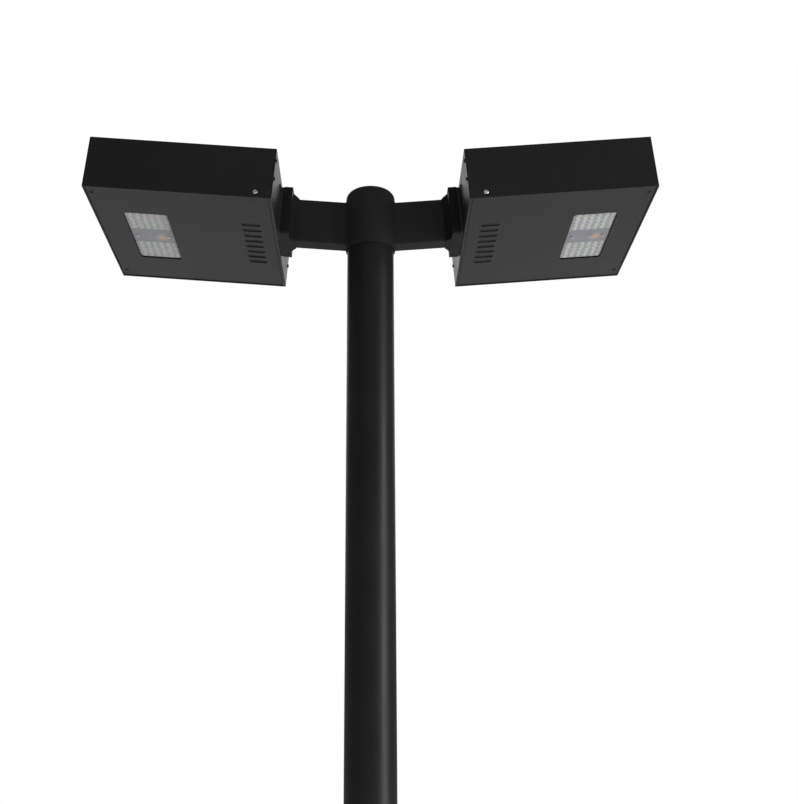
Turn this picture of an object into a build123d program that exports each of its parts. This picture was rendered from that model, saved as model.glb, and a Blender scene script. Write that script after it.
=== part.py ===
from build123d import *

import os
from math import cos, radians, sin, tan

# Twin-head solar street lamp: a straight round pole, a slip-over bracket with two arms, and two
# identical box-shaped solar heads. Millimetres, +Z up, origin at the centre of the base plate's underside.
# The arms run along X; the left head is the right head turned half a turn about the pole.

# ---- driving dimensions ---------------------------------------------------------------------------------

# pole: 4 in steel tube, 10 ft from the underside of the base plate to the end of the tube
POLE_RADIUS = 50.8
POLE_WALL = 3.0
POLE_TOP = 3048.0
TUBE_BOTTOM = 6.0

# base plate and its anchor bolt holes (8.5 in bolt circle)
PLATE_SIDE = 254.0
PLATE_THICKNESS = 19.0
PLATE_CORNER = 18.0
ANCHOR_SPACING = 152.6
ANCHOR_HOLE_RADIUS = 12.0
WELD_LEG = 10.0

# bracket sleeve that slips over the pole, with a domed cap
SLEEVE_RADIUS = 54.0
SLEEVE_WALL = 2.8
SLEEVE_LENGTH = 124.0
CAP_HEIGHT = 16.0
CAP_EDGE_RADIUS = 15.5
CAP_SKIN = 4.0
CAP_SPIGOT = 4.0
CAP_SPIGOT_RADIUS = 51.1
SLEEVE_TOP = POLE_TOP + CAP_SPIGOT
SLEEVE_BOTTOM = SLEEVE_TOP - SLEEVE_LENGTH

# set screws that lock the sleeve, all on the rear half
SET_SCREW_ANGLES = (55.0, 125.0)
SET_SCREW_HEIGHTS = (22.0, 96.0)
SET_SCREW_RADIUS = 4.0
SET_SCREW_TIP_GAP = 0.3
SET_SCREW_STAND_OUT = 0.6
HEX_SOCKET_RADIUS = 2.3
HEX_SOCKET_DEPTH = 2.0

# where a head's inner bottom edge is, and how far the arms and heads rise outwards
HEAD_REACH = 201.0
HEAD_DROP = 126.0
RISE = radians(4.3)

# arms: 4 x 1.5 in rectangular tube, in a cast flange
ARM_DEPTH = 101.6
ARM_THICKNESS = 38.1
ARM_WALL = 3.0
ARM_CORNER = 3.0
ARM_BORE_CORNER = 1.0
ARM_BASE = 7.0
ARM_LENGTH = 150.0
FLANGE_THICKNESS = 19.0
FLANGE_WIDTH = 124.0
FLANGE_BASE = 3.0
FLANGE_HEIGHT = 112.0
FLANGE_CORNER = 4.0
SOCKET_DEPTH = 12.0
SOCKET_FLARE = 16.0
SOCKET_LIP = 3.2
SOCKET_MARGIN = 1.0
GASKET_THICKNESS = 5.0
GASKET_MARGIN = 1.0
BOLT_SPREAD = 84.0
BOLT_ROWS = (50.0, 86.0)
BOLT_RADIUS = 5.0
BOLT_HOLE_RADIUS = 5.1
BOLT_CLEARANCE_RADIUS = 5.5
BOLT_HEAD_FLATS = 16.0
BOLT_HEAD_HEIGHT = 6.4
MOUNT_PLATE_THICKNESS = 5.0
MOUNT_PLATE_WIDTH = 120.0
MOUNT_PLATE_BASE = 34.0
MOUNT_PLATE_HEIGHT = 63.0

# head box
HEAD_LENGTH = 388.0
HEAD_WIDTH = 432.0
HEAD_HEIGHT = 115.0
WALL = 3.0
END_PLATE = 3.0
EDGE_RADIUS = 1.5
FRAME_HEIGHT = 4.0
FRAME_WIDTH = 18.0
RIM_WIDTH = 13.0
DECK_UNDERSIDE = 98.0
DECK_TOP = 101.0
LIP_DEPTH = 3.0
LIP_THICKNESS = 2.0
BOSS = 12.0
BOSS_LENGTH = 16.0
BOSS_INSET = 9.0
BOSS_ROWS = (50.0, 92.0)

# solar panel, in the recess on top
BACKING_THICKNESS = 2.4
CELL_THICKNESS = 0.6
GLASS_THICKNESS = 3.2
PANEL_FIT = 0.5
CELL_COUNT_X = 6
CELL_COUNT_Y = 6
CELL_GAP = 2.4
CELL_BORDER = 6.0
CELL_CORNER = 4.0
JUNCTION_BOX = (56.0, 36.0)
JUNCTION_BOX_BASE = 80.0
JUNCTION_BOX_PLACE = (328.0, 148.0)
JUNCTION_BOX_FIT = 0.5

# service door: a pan under the head that swings down about two screws near its inner end
DOOR_SKIN = 2.0
DOOR_RECESS = 1.5
DOOR_START = 7.0
DOOR_GAP = 0.6
DOOR_SIDE = 20.5
DOOR_INNER_SIDE = 9.0
PIVOT_X = 34.5
PIVOT_Z = 13.0
PIVOT_RADIUS = 3.0
PIVOT_FIT = 0.08
PIVOT_HEAD_RADIUS = 5.0
PIVOT_HEAD_HEIGHT = 2.6
PIVOT_REACH = 6.5
WINDOW_X = 278.5
WINDOW_LENGTH = 93.6
WINDOW_WIDTH = 216.0
WINDOW_CORNER = 4.0
VENT_COUNT = 8
VENT_PITCH = 25.5
VENT_LENGTH = 41.0
VENT_WIDTH = 12.0
VENT_X = 54.0
SCREEN_MARGIN = 6.0
SCREEN_THICKNESS = 0.8
CLOSER_X = 374.0
CLOSER_Y = 186.0
CLOSER_RADIUS = 2.5
CLOSER_HOLE_RADIUS = 3.2
CLOSER_HEAD_RADIUS = 4.2
CLOSER_HEAD_HEIGHT = 1.4
TAB_WIDTH = 24.0
TAB_LENGTH = 22.0
TAB_THICKNESS = 5.0
TAB_BASE = 24.0

# light engine, behind the door's window
LENS_PITCH = 15.0
LENS_COLUMNS = 6
LENS_ROWS = 5
LENS_RADIUS = 6.6
LENS_BULGE = 3.4
LENS_PLATE = 3.0
LENS_FACE = 5.0
LENS_RIM = 3.0
LENS_RIM_HEIGHT = 2.4
LENS_MODULE_LENGTH = 92.0
LENS_MODULE_WIDTH = 79.0
LENS_MODULE_OFFSET = 67.5
LENS_CORNER = 4.0
CLAMP_FACE = 4.2
CLAMP_FIT = 0.3
CLAMP_LIP = 2.0
CLAMP_SCREW_X = 34.0
BOARD_LENGTH = 98.0
BOARD_WIDTH = 226.0
BOARD_THICKNESS = 1.6
CHIP_SIDE = 3.0
CHIP_HEIGHT = 0.7
SINK_LENGTH = 106.0
SINK_WIDTH = 262.0
SINK_BASE = 5.0
SINK_FIN_HEIGHT = 26.0
SINK_FIN_THICKNESS = 2.2
SINK_FIN_PITCH = 15.0
SINK_FIN_COUNT = 15
BOARD_Z = LENS_FACE + LENS_PLATE + LENS_RIM_HEIGHT
SINK_Z = BOARD_Z + BOARD_THICKNESS
STANDOFF_FLATS = 8.0
STANDOFF_X = 42.0
STANDOFF_Y = 122.0

# battery: twelve round cells lying along the head, held by two end plates and a strap
CELL_RADIUS = 16.1
CELL_LENGTH = 70.5
CELL_PITCH = 33.5
CELL_COLUMNS = 6
CELL_START = 64.0
PACK_MIDDLE_Z = 59.5
HOLDER_THICKNESS = 8.0
HOLDER_POCKET = 4.0
HOLDER_WIDTH = 208.0
HOLDER_HEIGHT = 72.0
POCKET_FIT = 0.2
STRAP_THICKNESS = 2.0
STRAP_LENGTH = 26.0
STRAP_FOOT = 16.0
STRAP_FIT = 0.5

# charge controller under the deck, with a push button on its underside
CONTROLLER_X = 178.0
CONTROLLER_LENGTH = 60.0
CONTROLLER_WIDTH = 110.0
CONTROLLER_HEIGHT = 30.0
CONTROLLER_EDGE = 2.0
CONTROLLER_TAB = 12.0
CONTROLLER_TAB_WIDTH = 30.0
BUTTON_X = 168.0
BUTTON_Y = -25.0
BUTTON_RADIUS = 6.0
BUTTON_SHOULDER = 8.0
BUTTON_FIT = 0.3
BUTTON_TRAVEL = 2.5
BUTTON_STAND_OUT = 5.0
BUTTON_COLLAR = 3.0
BUTTON_SHOULDER_HEIGHT = 2.0
BUTTON_EDGE = 1.0

# leads inside a head
LEAD_RADIUS = 2.0
LEAD_ARC_SHARE = 0.45
BATTERY_LEAD_OUT = 28.0
BATTERY_LEAD_Z = 54.0
LEAD_SPREAD = 10.0
LIGHT_LEAD_Y = 20.0
PANEL_LEAD_X = 17.0
PANEL_LEAD_RUN = 60.0
PANEL_LEAD_LIFT = 5.0

# pan head screws that hold the case together
SCREW_RADIUS = 2.0
SCREW_HOLE_RADIUS = 2.1
SCREW_HEAD_RADIUS = 3.8
SCREW_HEAD_HEIGHT = 2.4
SCREW_LENGTH = 12.0
FRAME_SCREW_LENGTH = 11.0
SHORT_SCREW_LENGTH = 4.8
SLOT_WIDTH = 1.0
SLOT_LENGTH = 4.4
SLOT_DEPTH = 1.2

# ---- planes of a head -----------------------------------------------------------------------------------


def head_plane(side):
    """Plane of a head's underside: origin on its inner bottom edge, x outwards along the head, z up."""
    origin = (side * HEAD_REACH, 0, POLE_TOP + CAP_SPIGOT + CAP_HEIGHT - HEAD_DROP)
    return Plane(origin, x_dir=(side * cos(RISE), 0, sin(RISE)), z_dir=(-side * sin(RISE), 0, cos(RISE)))


def end_view(head, x):
    """Plane across a head at x: its own x runs along the head's width and its y up the head."""
    return Plane(head.from_local_coords((x, 0, 0)), x_dir=head.y_dir, z_dir=head.x_dir)


def facing_down(head, height):
    """Level plane at a height in a head, its normal pointing down."""
    return Plane(head.from_local_coords((0, 0, height)), x_dir=head.x_dir, z_dir=-head.z_dir)


def slotted_screws(seat, places, radius, length, head_radius, head_height):
    """Loose screws: heads on the seat plane, shanks below it, a cross in each head."""
    with BuildPart() as screws:
        with BuildSketch(seat):
            with Locations(*places):
                Circle(head_radius)
        extrude(amount=head_height)
        with BuildSketch(seat):
            with Locations(*places):
                Circle(radius)
        extrude(amount=-length)
        with BuildSketch(seat.offset(head_height)):
            with Locations(*places):
                Rectangle(SLOT_WIDTH, SLOT_LENGTH)
                Rectangle(SLOT_LENGTH, SLOT_WIDTH)
        extrude(amount=-SLOT_DEPTH, mode=Mode.SUBTRACT)
    return screws


# ---- pole and bracket -----------------------------------------------------------------------------------


def pole_tube():
    with BuildPart() as tube:
        with BuildSketch(Plane.XY.offset(TUBE_BOTTOM)):
            Circle(POLE_RADIUS)
            Circle(POLE_RADIUS - POLE_WALL, mode=Mode.SUBTRACT)
        extrude(amount=POLE_TOP - TUBE_BOTTOM)
    return tube


def base_plate():
    """Square plate with cut corners, the weld collar round the tube and four anchor holes."""
    with BuildPart() as plate:
        with BuildSketch() as outline:
            Rectangle(PLATE_SIDE, PLATE_SIDE)
            chamfer(outline.vertices(), PLATE_CORNER)
            Circle(POLE_RADIUS, mode=Mode.SUBTRACT)
            with GridLocations(ANCHOR_SPACING, ANCHOR_SPACING, 2, 2):
                Circle(ANCHOR_HOLE_RADIUS, mode=Mode.SUBTRACT)
        extrude(amount=PLATE_THICKNESS)
        with BuildSketch(Plane.XZ):
            with BuildLine():
                Polyline(
                    (POLE_RADIUS, PLATE_THICKNESS),
                    (POLE_RADIUS + WELD_LEG, PLATE_THICKNESS),
                    (POLE_RADIUS, PLATE_THICKNESS + WELD_LEG),
                    close=True,
                )
            make_face()
        revolve(axis=Axis.Z)
    return plate


def sleeve():
    with BuildPart() as body:
        with BuildSketch(Plane.XY.offset(SLEEVE_BOTTOM)):
            Circle(SLEEVE_RADIUS)
            Circle(SLEEVE_RADIUS - SLEEVE_WALL, mode=Mode.SUBTRACT)
        extrude(amount=SLEEVE_LENGTH)
        for screw in set_screw_planes():
            with BuildSketch(screw):
                Circle(SET_SCREW_RADIUS)
            extrude(amount=SLEEVE_RADIUS, mode=Mode.SUBTRACT)
    return body


def set_screw_planes():
    """Planes through the pole's axis whose normals point out along each set screw."""
    planes = []
    for angle in SET_SCREW_ANGLES:
        outwards = (cos(radians(angle)), sin(radians(angle)), 0)
        for height in SET_SCREW_HEIGHTS:
            planes.append(Plane((0, 0, SLEEVE_BOTTOM + height), x_dir=(0, 0, 1), z_dir=outwards))
    return planes


def set_screws():
    start = POLE_RADIUS + SET_SCREW_TIP_GAP
    end = SLEEVE_RADIUS + SET_SCREW_STAND_OUT
    with BuildPart() as screws:
        for screw in set_screw_planes():
            with BuildSketch(screw.offset(start)):
                Circle(SET_SCREW_RADIUS)
            extrude(amount=end - start)
            with BuildSketch(screw.offset(end)):
                RegularPolygon(HEX_SOCKET_RADIUS, 6)
            extrude(amount=-HEX_SOCKET_DEPTH, mode=Mode.SUBTRACT)
    return screws


def sleeve_cap():
    """Domed cap: a hollow disc with a large rounded edge and a spigot that rests on the tube's end."""
    with BuildPart() as cap:
        with BuildSketch(Plane.XY.offset(SLEEVE_TOP)):
            Circle(SLEEVE_RADIUS)
        extrude(amount=CAP_HEIGHT)
        fillet(cap.edges().sort_by(Axis.Z)[-1], CAP_EDGE_RADIUS)
        with BuildSketch(Plane.XY.offset(SLEEVE_TOP)):
            Circle(CAP_SPIGOT_RADIUS)
        extrude(amount=-CAP_SPIGOT)
        with BuildSketch(Plane.XY.offset(POLE_TOP)):
            Circle(POLE_RADIUS - POLE_WALL - CAP_SKIN)
        extrude(amount=CAP_SPIGOT + CAP_HEIGHT - CAP_SKIN, mode=Mode.SUBTRACT)
    return cap


def arm_outline():
    """Outside of the arm's section, in the open BuildSketch."""
    with Locations((0, ARM_BASE + ARM_DEPTH / 2)):
        RectangleRounded(ARM_THICKNESS, ARM_DEPTH, ARM_CORNER)


def arm(head):
    """Rectangular tube from the flange's plate to the sleeve, its inner end cut to the sleeve's round."""
    with BuildPart() as tube:
        with BuildSketch(end_view(head, -GASKET_THICKNESS - FLANGE_THICKNESS)):
            arm_outline()
            with Locations((0, ARM_BASE + ARM_DEPTH / 2)):
                RectangleRounded(
                    ARM_THICKNESS - 2 * ARM_WALL,
                    ARM_DEPTH - 2 * ARM_WALL,
                    ARM_BORE_CORNER,
                    mode=Mode.SUBTRACT,
                )
        extrude(amount=-ARM_LENGTH)
        with BuildSketch(Plane.XY.offset(SLEEVE_BOTTOM)):
            Circle(SLEEVE_RADIUS)
        extrude(amount=SLEEVE_LENGTH, mode=Mode.SUBTRACT)
    return tube


def bolt_places():
    """Centres of the four flange bolts in a plane from end_view."""
    return [(side * BOLT_SPREAD / 2, row) for side in (-1, 1) for row in BOLT_ROWS]


def arm_flange(head):
    """Cast plate with a flared socket that the arm ends in, and four tapped holes."""
    face = -GASKET_THICKNESS - FLANGE_THICKNESS
    middle = FLANGE_BASE + FLANGE_HEIGHT / 2
    with BuildPart() as flange:
        with BuildSketch(end_view(head, face)):
            with Locations((0, middle)):
                RectangleRounded(FLANGE_WIDTH, FLANGE_HEIGHT, FLANGE_CORNER)
        extrude(amount=FLANGE_THICKNESS)
        with BuildSketch(end_view(head, face)):
            with Locations((0, middle)):
                RectangleRounded(
                    ARM_THICKNESS + 2 * SOCKET_FLARE,
                    FLANGE_HEIGHT - 2 * SOCKET_MARGIN,
                    FLANGE_CORNER,
                )
        with BuildSketch(end_view(head, face - SOCKET_DEPTH)):
            with Locations((0, ARM_BASE + ARM_DEPTH / 2)):
                RectangleRounded(
                    ARM_THICKNESS + SOCKET_LIP,
                    ARM_DEPTH + SOCKET_LIP,
                    FLANGE_CORNER,
                )
        loft()
        with BuildSketch(end_view(head, face - SOCKET_DEPTH)):
            arm_outline()
        extrude(amount=SOCKET_DEPTH, mode=Mode.SUBTRACT)
        with BuildSketch(end_view(head, face - SOCKET_DEPTH)):
            with Locations(*bolt_places()):
                Circle(BOLT_HOLE_RADIUS)
        extrude(amount=SOCKET_DEPTH + FLANGE_THICKNESS, mode=Mode.SUBTRACT)
    return flange


def flange_gasket(head):
    with BuildPart() as gasket:
        with BuildSketch(end_view(head, -GASKET_THICKNESS)):
            with Locations((0, FLANGE_BASE + FLANGE_HEIGHT / 2)):
                RectangleRounded(
                    FLANGE_WIDTH - 2 * GASKET_MARGIN,
                    FLANGE_HEIGHT - 2 * GASKET_MARGIN,
                    FLANGE_CORNER,
                )
            with Locations(*bolt_places()):
                Circle(BOLT_CLEARANCE_RADIUS, mode=Mode.SUBTRACT)
        extrude(amount=GASKET_THICKNESS)
    return gasket


def mount_plate(head):
    """Steel plate inside the end plate that spreads the load of the flange bolts."""
    with BuildPart() as plate:
        with BuildSketch(end_view(head, END_PLATE)):
            with Locations((0, MOUNT_PLATE_BASE + MOUNT_PLATE_HEIGHT / 2)):
                RectangleRounded(MOUNT_PLATE_WIDTH, MOUNT_PLATE_HEIGHT, FLANGE_CORNER)
            with Locations(*bolt_places()):
                Circle(BOLT_CLEARANCE_RADIUS, mode=Mode.SUBTRACT)
        extrude(amount=MOUNT_PLATE_THICKNESS)
    return plate


def flange_bolts(heads):
    """Hex head bolts from inside each head into its arm's flange."""
    seat = END_PLATE + MOUNT_PLATE_THICKNESS
    with BuildPart() as bolts:
        for head in heads:
            with BuildSketch(end_view(head, seat)):
                with Locations(*bolt_places()):
                    RegularPolygon(BOLT_HEAD_FLATS / 2, 6, major_radius=False)
            extrude(amount=BOLT_HEAD_HEIGHT)
            with BuildSketch(end_view(head, seat)):
                with Locations(*bolt_places()):
                    Circle(BOLT_RADIUS)
            extrude(amount=-seat - GASKET_THICKNESS - FLANGE_THICKNESS)
    return bolts


# ---- head box -------------------------------------------------------------------------------------------


def end_screw_places():
    """Centres of the end plate's screws in a plane from end_view."""
    edge = HEAD_WIDTH / 2 - WALL - BOSS / 2
    corners = [(side * edge, row) for side in (-1, 1) for row in BOSS_ROWS]
    return corners + [(side * edge / 2, BOSS_ROWS[-1]) for side in (-1, 1)]


def frame_screw_places():
    """Centres of the panel frame's screws on a plane level with the head."""
    edge = RIM_WIDTH / 2
    ends = (edge + END_PLATE / 2, HEAD_LENGTH - edge)
    side = HEAD_WIDTH / 2 - edge
    corners = [(x, y) for x in ends for y in (-side, 0, side)]
    return corners + [(HEAD_LENGTH / 2, -side), (HEAD_LENGTH / 2, side)]


def strap_screw_places():
    middle = CELL_START + CELL_LENGTH / 2
    across = strap_half_width() + STRAP_THICKNESS + STRAP_FOOT / 2
    return [(middle, -across), (middle, across)]


def controller_screw_places():
    across = CONTROLLER_WIDTH / 2 + CONTROLLER_TAB / 2
    return [(CONTROLLER_X, -across), (CONTROLLER_X, across)]


def standoff_places():
    return [
        (WINDOW_X + x * STANDOFF_X, y * STANDOFF_Y)
        for x in (-1, 1)
        for y in (-1, 1)
    ]


def clamp_screw_places():
    return [(WINDOW_X - CLAMP_SCREW_X, 0), (WINDOW_X + CLAMP_SCREW_X, 0)]


def pivot_plane(head, side):
    """Plane on a long wall's outside at the door's pivot, its normal pointing out of the head."""
    origin = head.from_local_coords((PIVOT_X, side * HEAD_WIDTH / 2, PIVOT_Z))
    return Plane(origin, x_dir=head.x_dir, z_dir=head.y_dir * side)


def housing(head):
    """Box open below and at its inner end: three walls, a deck, and a rim that frames the panel's recess."""
    box_length = HEAD_LENGTH - END_PLATE
    box_height = HEAD_HEIGHT - FRAME_HEIGHT
    with BuildPart() as box:
        with BuildSketch(head) as outline:
            with Locations((END_PLATE + box_length / 2, 0)):
                Rectangle(box_length, HEAD_WIDTH)
            fillet(outline.vertices().sort_by(Axis((0, 0, 0), head.x_dir))[-2:], EDGE_RADIUS)
        extrude(amount=box_height)
        with BuildSketch(head):
            with Locations((END_PLATE + (box_length - WALL) / 2, 0)):
                Rectangle(box_length - WALL, HEAD_WIDTH - 2 * WALL)
        extrude(amount=DECK_UNDERSIDE, mode=Mode.SUBTRACT)
        with BuildSketch(head.offset(DECK_TOP)):
            with Locations((HEAD_LENGTH / 2, 0)):
                Rectangle(HEAD_LENGTH - 2 * RIM_WIDTH, HEAD_WIDTH - 2 * RIM_WIDTH)
        extrude(amount=box_height - DECK_TOP, mode=Mode.SUBTRACT)
        with BuildSketch(end_view(head, END_PLATE)):
            with Locations(*end_screw_places()):
                Rectangle(BOSS, BOSS)
        extrude(amount=BOSS_LENGTH)
        with BuildSketch(head.offset(TAB_BASE)):
            for side in (-1, 1):
                with Locations((HEAD_LENGTH - WALL - TAB_LENGTH / 2, side * CLOSER_Y)):
                    Rectangle(TAB_LENGTH, TAB_WIDTH)
                with Locations((CLOSER_X, side * CLOSER_Y)):
                    Circle(CLOSER_HOLE_RADIUS, mode=Mode.SUBTRACT)
        extrude(amount=TAB_THICKNESS)
        with BuildSketch(head.offset(DECK_UNDERSIDE)):
            with Locations(JUNCTION_BOX_PLACE):
                Rectangle(
                    JUNCTION_BOX[0] + 2 * JUNCTION_BOX_FIT,
                    JUNCTION_BOX[1] + 2 * JUNCTION_BOX_FIT,
                )
            with Locations(*strap_screw_places(), *controller_screw_places()):
                Circle(SCREW_HOLE_RADIUS)
        extrude(amount=DECK_TOP - DECK_UNDERSIDE, mode=Mode.SUBTRACT)
        with BuildSketch(head.offset(box_height)):
            with Locations(*frame_screw_places()):
                Circle(SCREW_HOLE_RADIUS)
        extrude(amount=DECK_TOP - box_height, mode=Mode.SUBTRACT)
        with BuildSketch(end_view(head, END_PLATE)):
            with Locations(*end_screw_places()):
                Circle(SCREW_HOLE_RADIUS)
        extrude(amount=SCREW_LENGTH, mode=Mode.SUBTRACT)
        for side in (-1, 1):
            with BuildSketch(pivot_plane(head, side)):
                Circle(PIVOT_RADIUS)
            extrude(amount=-WALL, mode=Mode.SUBTRACT)
    return box


def end_plate(head):
    """Plain plate that closes the head's inner end, with a short lip under the door's edge."""
    height = HEAD_HEIGHT - FRAME_HEIGHT
    with BuildPart() as plate:
        with BuildSketch(end_view(head, 0)):
            with Locations((0, height / 2)):
                Rectangle(HEAD_WIDTH, height)
            with Locations(*end_screw_places()):
                Circle(SCREW_HOLE_RADIUS, mode=Mode.SUBTRACT)
            with Locations(*bolt_places()):
                Circle(BOLT_CLEARANCE_RADIUS, mode=Mode.SUBTRACT)
        extrude(amount=END_PLATE)
        with BuildSketch(end_view(head, END_PLATE)):
            with Locations((0, LIP_THICKNESS / 2)):
                Rectangle(HEAD_WIDTH - 2 * WALL, LIP_THICKNESS)
        extrude(amount=LIP_DEPTH)
    return plate


def panel_frame(head):
    """Flat frame over the panel's edge, with a lip that presses on the glass and sunk screw seats."""
    opening = (HEAD_LENGTH - 2 * FRAME_WIDTH, HEAD_WIDTH - 2 * FRAME_WIDTH)
    glass_top = DECK_TOP + BACKING_THICKNESS + CELL_THICKNESS + GLASS_THICKNESS
    underside = HEAD_HEIGHT - FRAME_HEIGHT
    with BuildPart() as frame:
        with BuildSketch(head.offset(underside)):
            with Locations((HEAD_LENGTH / 2, 0)):
                RectangleRounded(HEAD_LENGTH, HEAD_WIDTH, EDGE_RADIUS)
                Rectangle(*opening, mode=Mode.SUBTRACT)
            with Locations(*frame_screw_places()):
                Circle(SCREW_HOLE_RADIUS, mode=Mode.SUBTRACT)
        extrude(amount=FRAME_HEIGHT)
        with BuildSketch(head.offset(HEAD_HEIGHT - SCREW_HEAD_HEIGHT)):
            with Locations(*frame_screw_places()):
                Circle(SCREW_HEAD_RADIUS)
        extrude(amount=SCREW_HEAD_HEIGHT, mode=Mode.SUBTRACT)
        with BuildSketch(head.offset(glass_top)):
            with Locations((HEAD_LENGTH / 2, 0)):
                Rectangle(*panel_size())
                Rectangle(*opening, mode=Mode.SUBTRACT)
        extrude(amount=underside - glass_top)
    return frame


def panel_size():
    """Length and width of the laminate that lies in the housing's recess."""
    inset = RIM_WIDTH + PANEL_FIT
    return HEAD_LENGTH - 2 * inset, HEAD_WIDTH - 2 * inset


def panel_sheet(head, base, thickness):
    with BuildPart() as sheet:
        with BuildSketch(head.offset(base)):
            with Locations((HEAD_LENGTH / 2, 0)):
                Rectangle(*panel_size())
        extrude(amount=thickness)
    return sheet


def solar_cells(head):
    """Grid of square-cut cells with clipped corners, laid in rows on the backing sheet."""
    length, width = panel_size()
    pitch_x = (length - 2 * CELL_BORDER - 2 * (FRAME_WIDTH - RIM_WIDTH)) / CELL_COUNT_X
    pitch_y = (width - 2 * CELL_BORDER - 2 * (FRAME_WIDTH - RIM_WIDTH)) / CELL_COUNT_Y
    with BuildPart() as cells:
        with BuildSketch(head.offset(DECK_TOP + BACKING_THICKNESS)) as outline:
            with Locations((HEAD_LENGTH / 2, 0)):
                with GridLocations(pitch_x, pitch_y, CELL_COUNT_X, CELL_COUNT_Y):
                    Rectangle(pitch_x - CELL_GAP, pitch_y - CELL_GAP)
            chamfer(outline.vertices(), CELL_CORNER)
        extrude(amount=CELL_THICKNESS)
    return cells


def junction_box(head):
    with BuildPart() as box:
        with BuildSketch(head.offset(JUNCTION_BOX_BASE)):
            with Locations(JUNCTION_BOX_PLACE):
                RectangleRounded(*JUNCTION_BOX, EDGE_RADIUS)
        extrude(amount=DECK_TOP - JUNCTION_BOX_BASE)
    return box


# ---- service door ---------------------------------------------------------------------------------------


def door(head):
    """Shallow pan with upturned sides, the lens window, a column of vent slots and its pivot holes."""
    end = HEAD_LENGTH - WALL - DOOR_GAP
    length = end - DOOR_START
    width = HEAD_WIDTH - 2 * WALL - 2 * DOOR_GAP
    window = window_outline()
    with BuildPart() as pan:
        with BuildSketch(head.offset(DOOR_RECESS)):
            with Locations((DOOR_START + length / 2, 0)):
                Rectangle(length, width)
        extrude(amount=DOOR_SIDE)
        with BuildSketch(head.offset(DOOR_RECESS + DOOR_SKIN)):
            with Locations((DOOR_START + length / 2, 0)):
                Rectangle(length - 2 * DOOR_SKIN, width - 2 * DOOR_SKIN)
        extrude(amount=DOOR_SIDE, mode=Mode.SUBTRACT)
        with BuildSketch(head.offset(DOOR_RECESS + DOOR_SKIN + DOOR_INNER_SIDE)):
            with Locations((DOOR_START + DOOR_SKIN / 2, 0)):
                Rectangle(DOOR_SKIN, width - 2 * DOOR_SKIN)
        extrude(amount=DOOR_SIDE, mode=Mode.SUBTRACT)
        with BuildSketch(head.offset(DOOR_RECESS)):
            with Locations((WINDOW_X, 0)):
                add(window)
            with Locations((VENT_X, 0)):
                with GridLocations(0, VENT_PITCH, 1, VENT_COUNT):
                    SlotOverall(VENT_LENGTH, VENT_WIDTH)
            with Locations((CLOSER_X, -CLOSER_Y), (CLOSER_X, CLOSER_Y)):
                Circle(CLOSER_RADIUS)
        extrude(amount=DOOR_SKIN, mode=Mode.SUBTRACT)
        for side in (-1, 1):
            with BuildSketch(pivot_plane(head, side)):
                Circle(PIVOT_RADIUS + PIVOT_FIT)
            extrude(amount=-WALL - DOOR_GAP - DOOR_SKIN, mode=Mode.SUBTRACT)
    return pan


def vent_screen(head):
    """Thin filter sheet that covers the door's vent slots from inside."""
    length = VENT_LENGTH + 2 * SCREEN_MARGIN
    width = (VENT_COUNT - 1) * VENT_PITCH + VENT_WIDTH + 2 * SCREEN_MARGIN
    with BuildPart() as screen:
        with BuildSketch(head.offset(DOOR_RECESS + DOOR_SKIN)):
            with Locations((VENT_X, 0)):
                RectangleRounded(length, width, EDGE_RADIUS)
        extrude(amount=SCREEN_THICKNESS)
    return screen


def window_outline():
    """Rectangle with cut corners, centred on its own origin."""
    with BuildSketch() as outline:
        Rectangle(WINDOW_LENGTH, WINDOW_WIDTH)
        chamfer(outline.vertices(), WINDOW_CORNER)
    return outline.sketch


def pivot_screws(heads):
    """Bright pan head screws through the long walls that the doors turn on."""
    sizes = (PIVOT_RADIUS, PIVOT_REACH, PIVOT_HEAD_RADIUS, PIVOT_HEAD_HEIGHT)
    planes = [pivot_plane(head, side) for head in heads for side in (-1, 1)]
    screws = [slotted_screws(plane, [(0, 0)], *sizes).part for plane in planes]
    with BuildPart() as group:
        add(screws)
    return group


def closing_screws(head):
    """Captive screws near the door's outer end that reach up into the housing's tabs."""
    seat = facing_down(head, DOOR_RECESS)
    places = [(CLOSER_X, -CLOSER_Y), (CLOSER_X, CLOSER_Y)]
    length = TAB_BASE + TAB_THICKNESS - DOOR_RECESS
    return slotted_screws(seat, places, CLOSER_RADIUS, length, CLOSER_HEAD_RADIUS, CLOSER_HEAD_HEIGHT)


# ---- light engine ---------------------------------------------------------------------------------------


def lens_dome():
    """Bulging lens with its flat face on XY and its crown below."""
    with BuildPart() as dome:
        with BuildSketch(Plane.XZ):
            with BuildLine():
                rim = (LENS_RADIUS, 0)
                crown = (0, -LENS_BULGE)
                ThreePointArc((-LENS_RADIUS, 0), crown, rim)
                Line(rim, (-LENS_RADIUS, 0))
            make_face()
            with Locations((-LENS_RADIUS / 2, 0)):
                Rectangle(LENS_RADIUS, 2 * LENS_RADIUS, mode=Mode.SUBTRACT)
        revolve(axis=Axis.Z)
    return dome.part


def lens_modules(head):
    """Two moulded plates, each with a rim behind it and a grid of domes in front."""
    dome = lens_dome()
    outlines = {side: lens_outline(side) for side in (-1, 1)}
    with BuildPart() as modules:
        for side, outline in outlines.items():
            middle = (WINDOW_X, side * LENS_MODULE_OFFSET)
            with BuildSketch(head.offset(LENS_FACE)):
                add(outline)
            extrude(amount=BOARD_Z - LENS_FACE)
            with BuildSketch(head.offset(LENS_FACE + LENS_PLATE)):
                with Locations(middle):
                    Rectangle(LENS_MODULE_LENGTH - 2 * LENS_RIM, LENS_MODULE_WIDTH - 2 * LENS_RIM)
            extrude(amount=BOARD_Z, mode=Mode.SUBTRACT)
            with Locations(head.offset(LENS_FACE)):
                with Locations(middle):
                    with GridLocations(LENS_PITCH, LENS_PITCH, LENS_COLUMNS, LENS_ROWS):
                        add(dome)
    return modules


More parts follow.
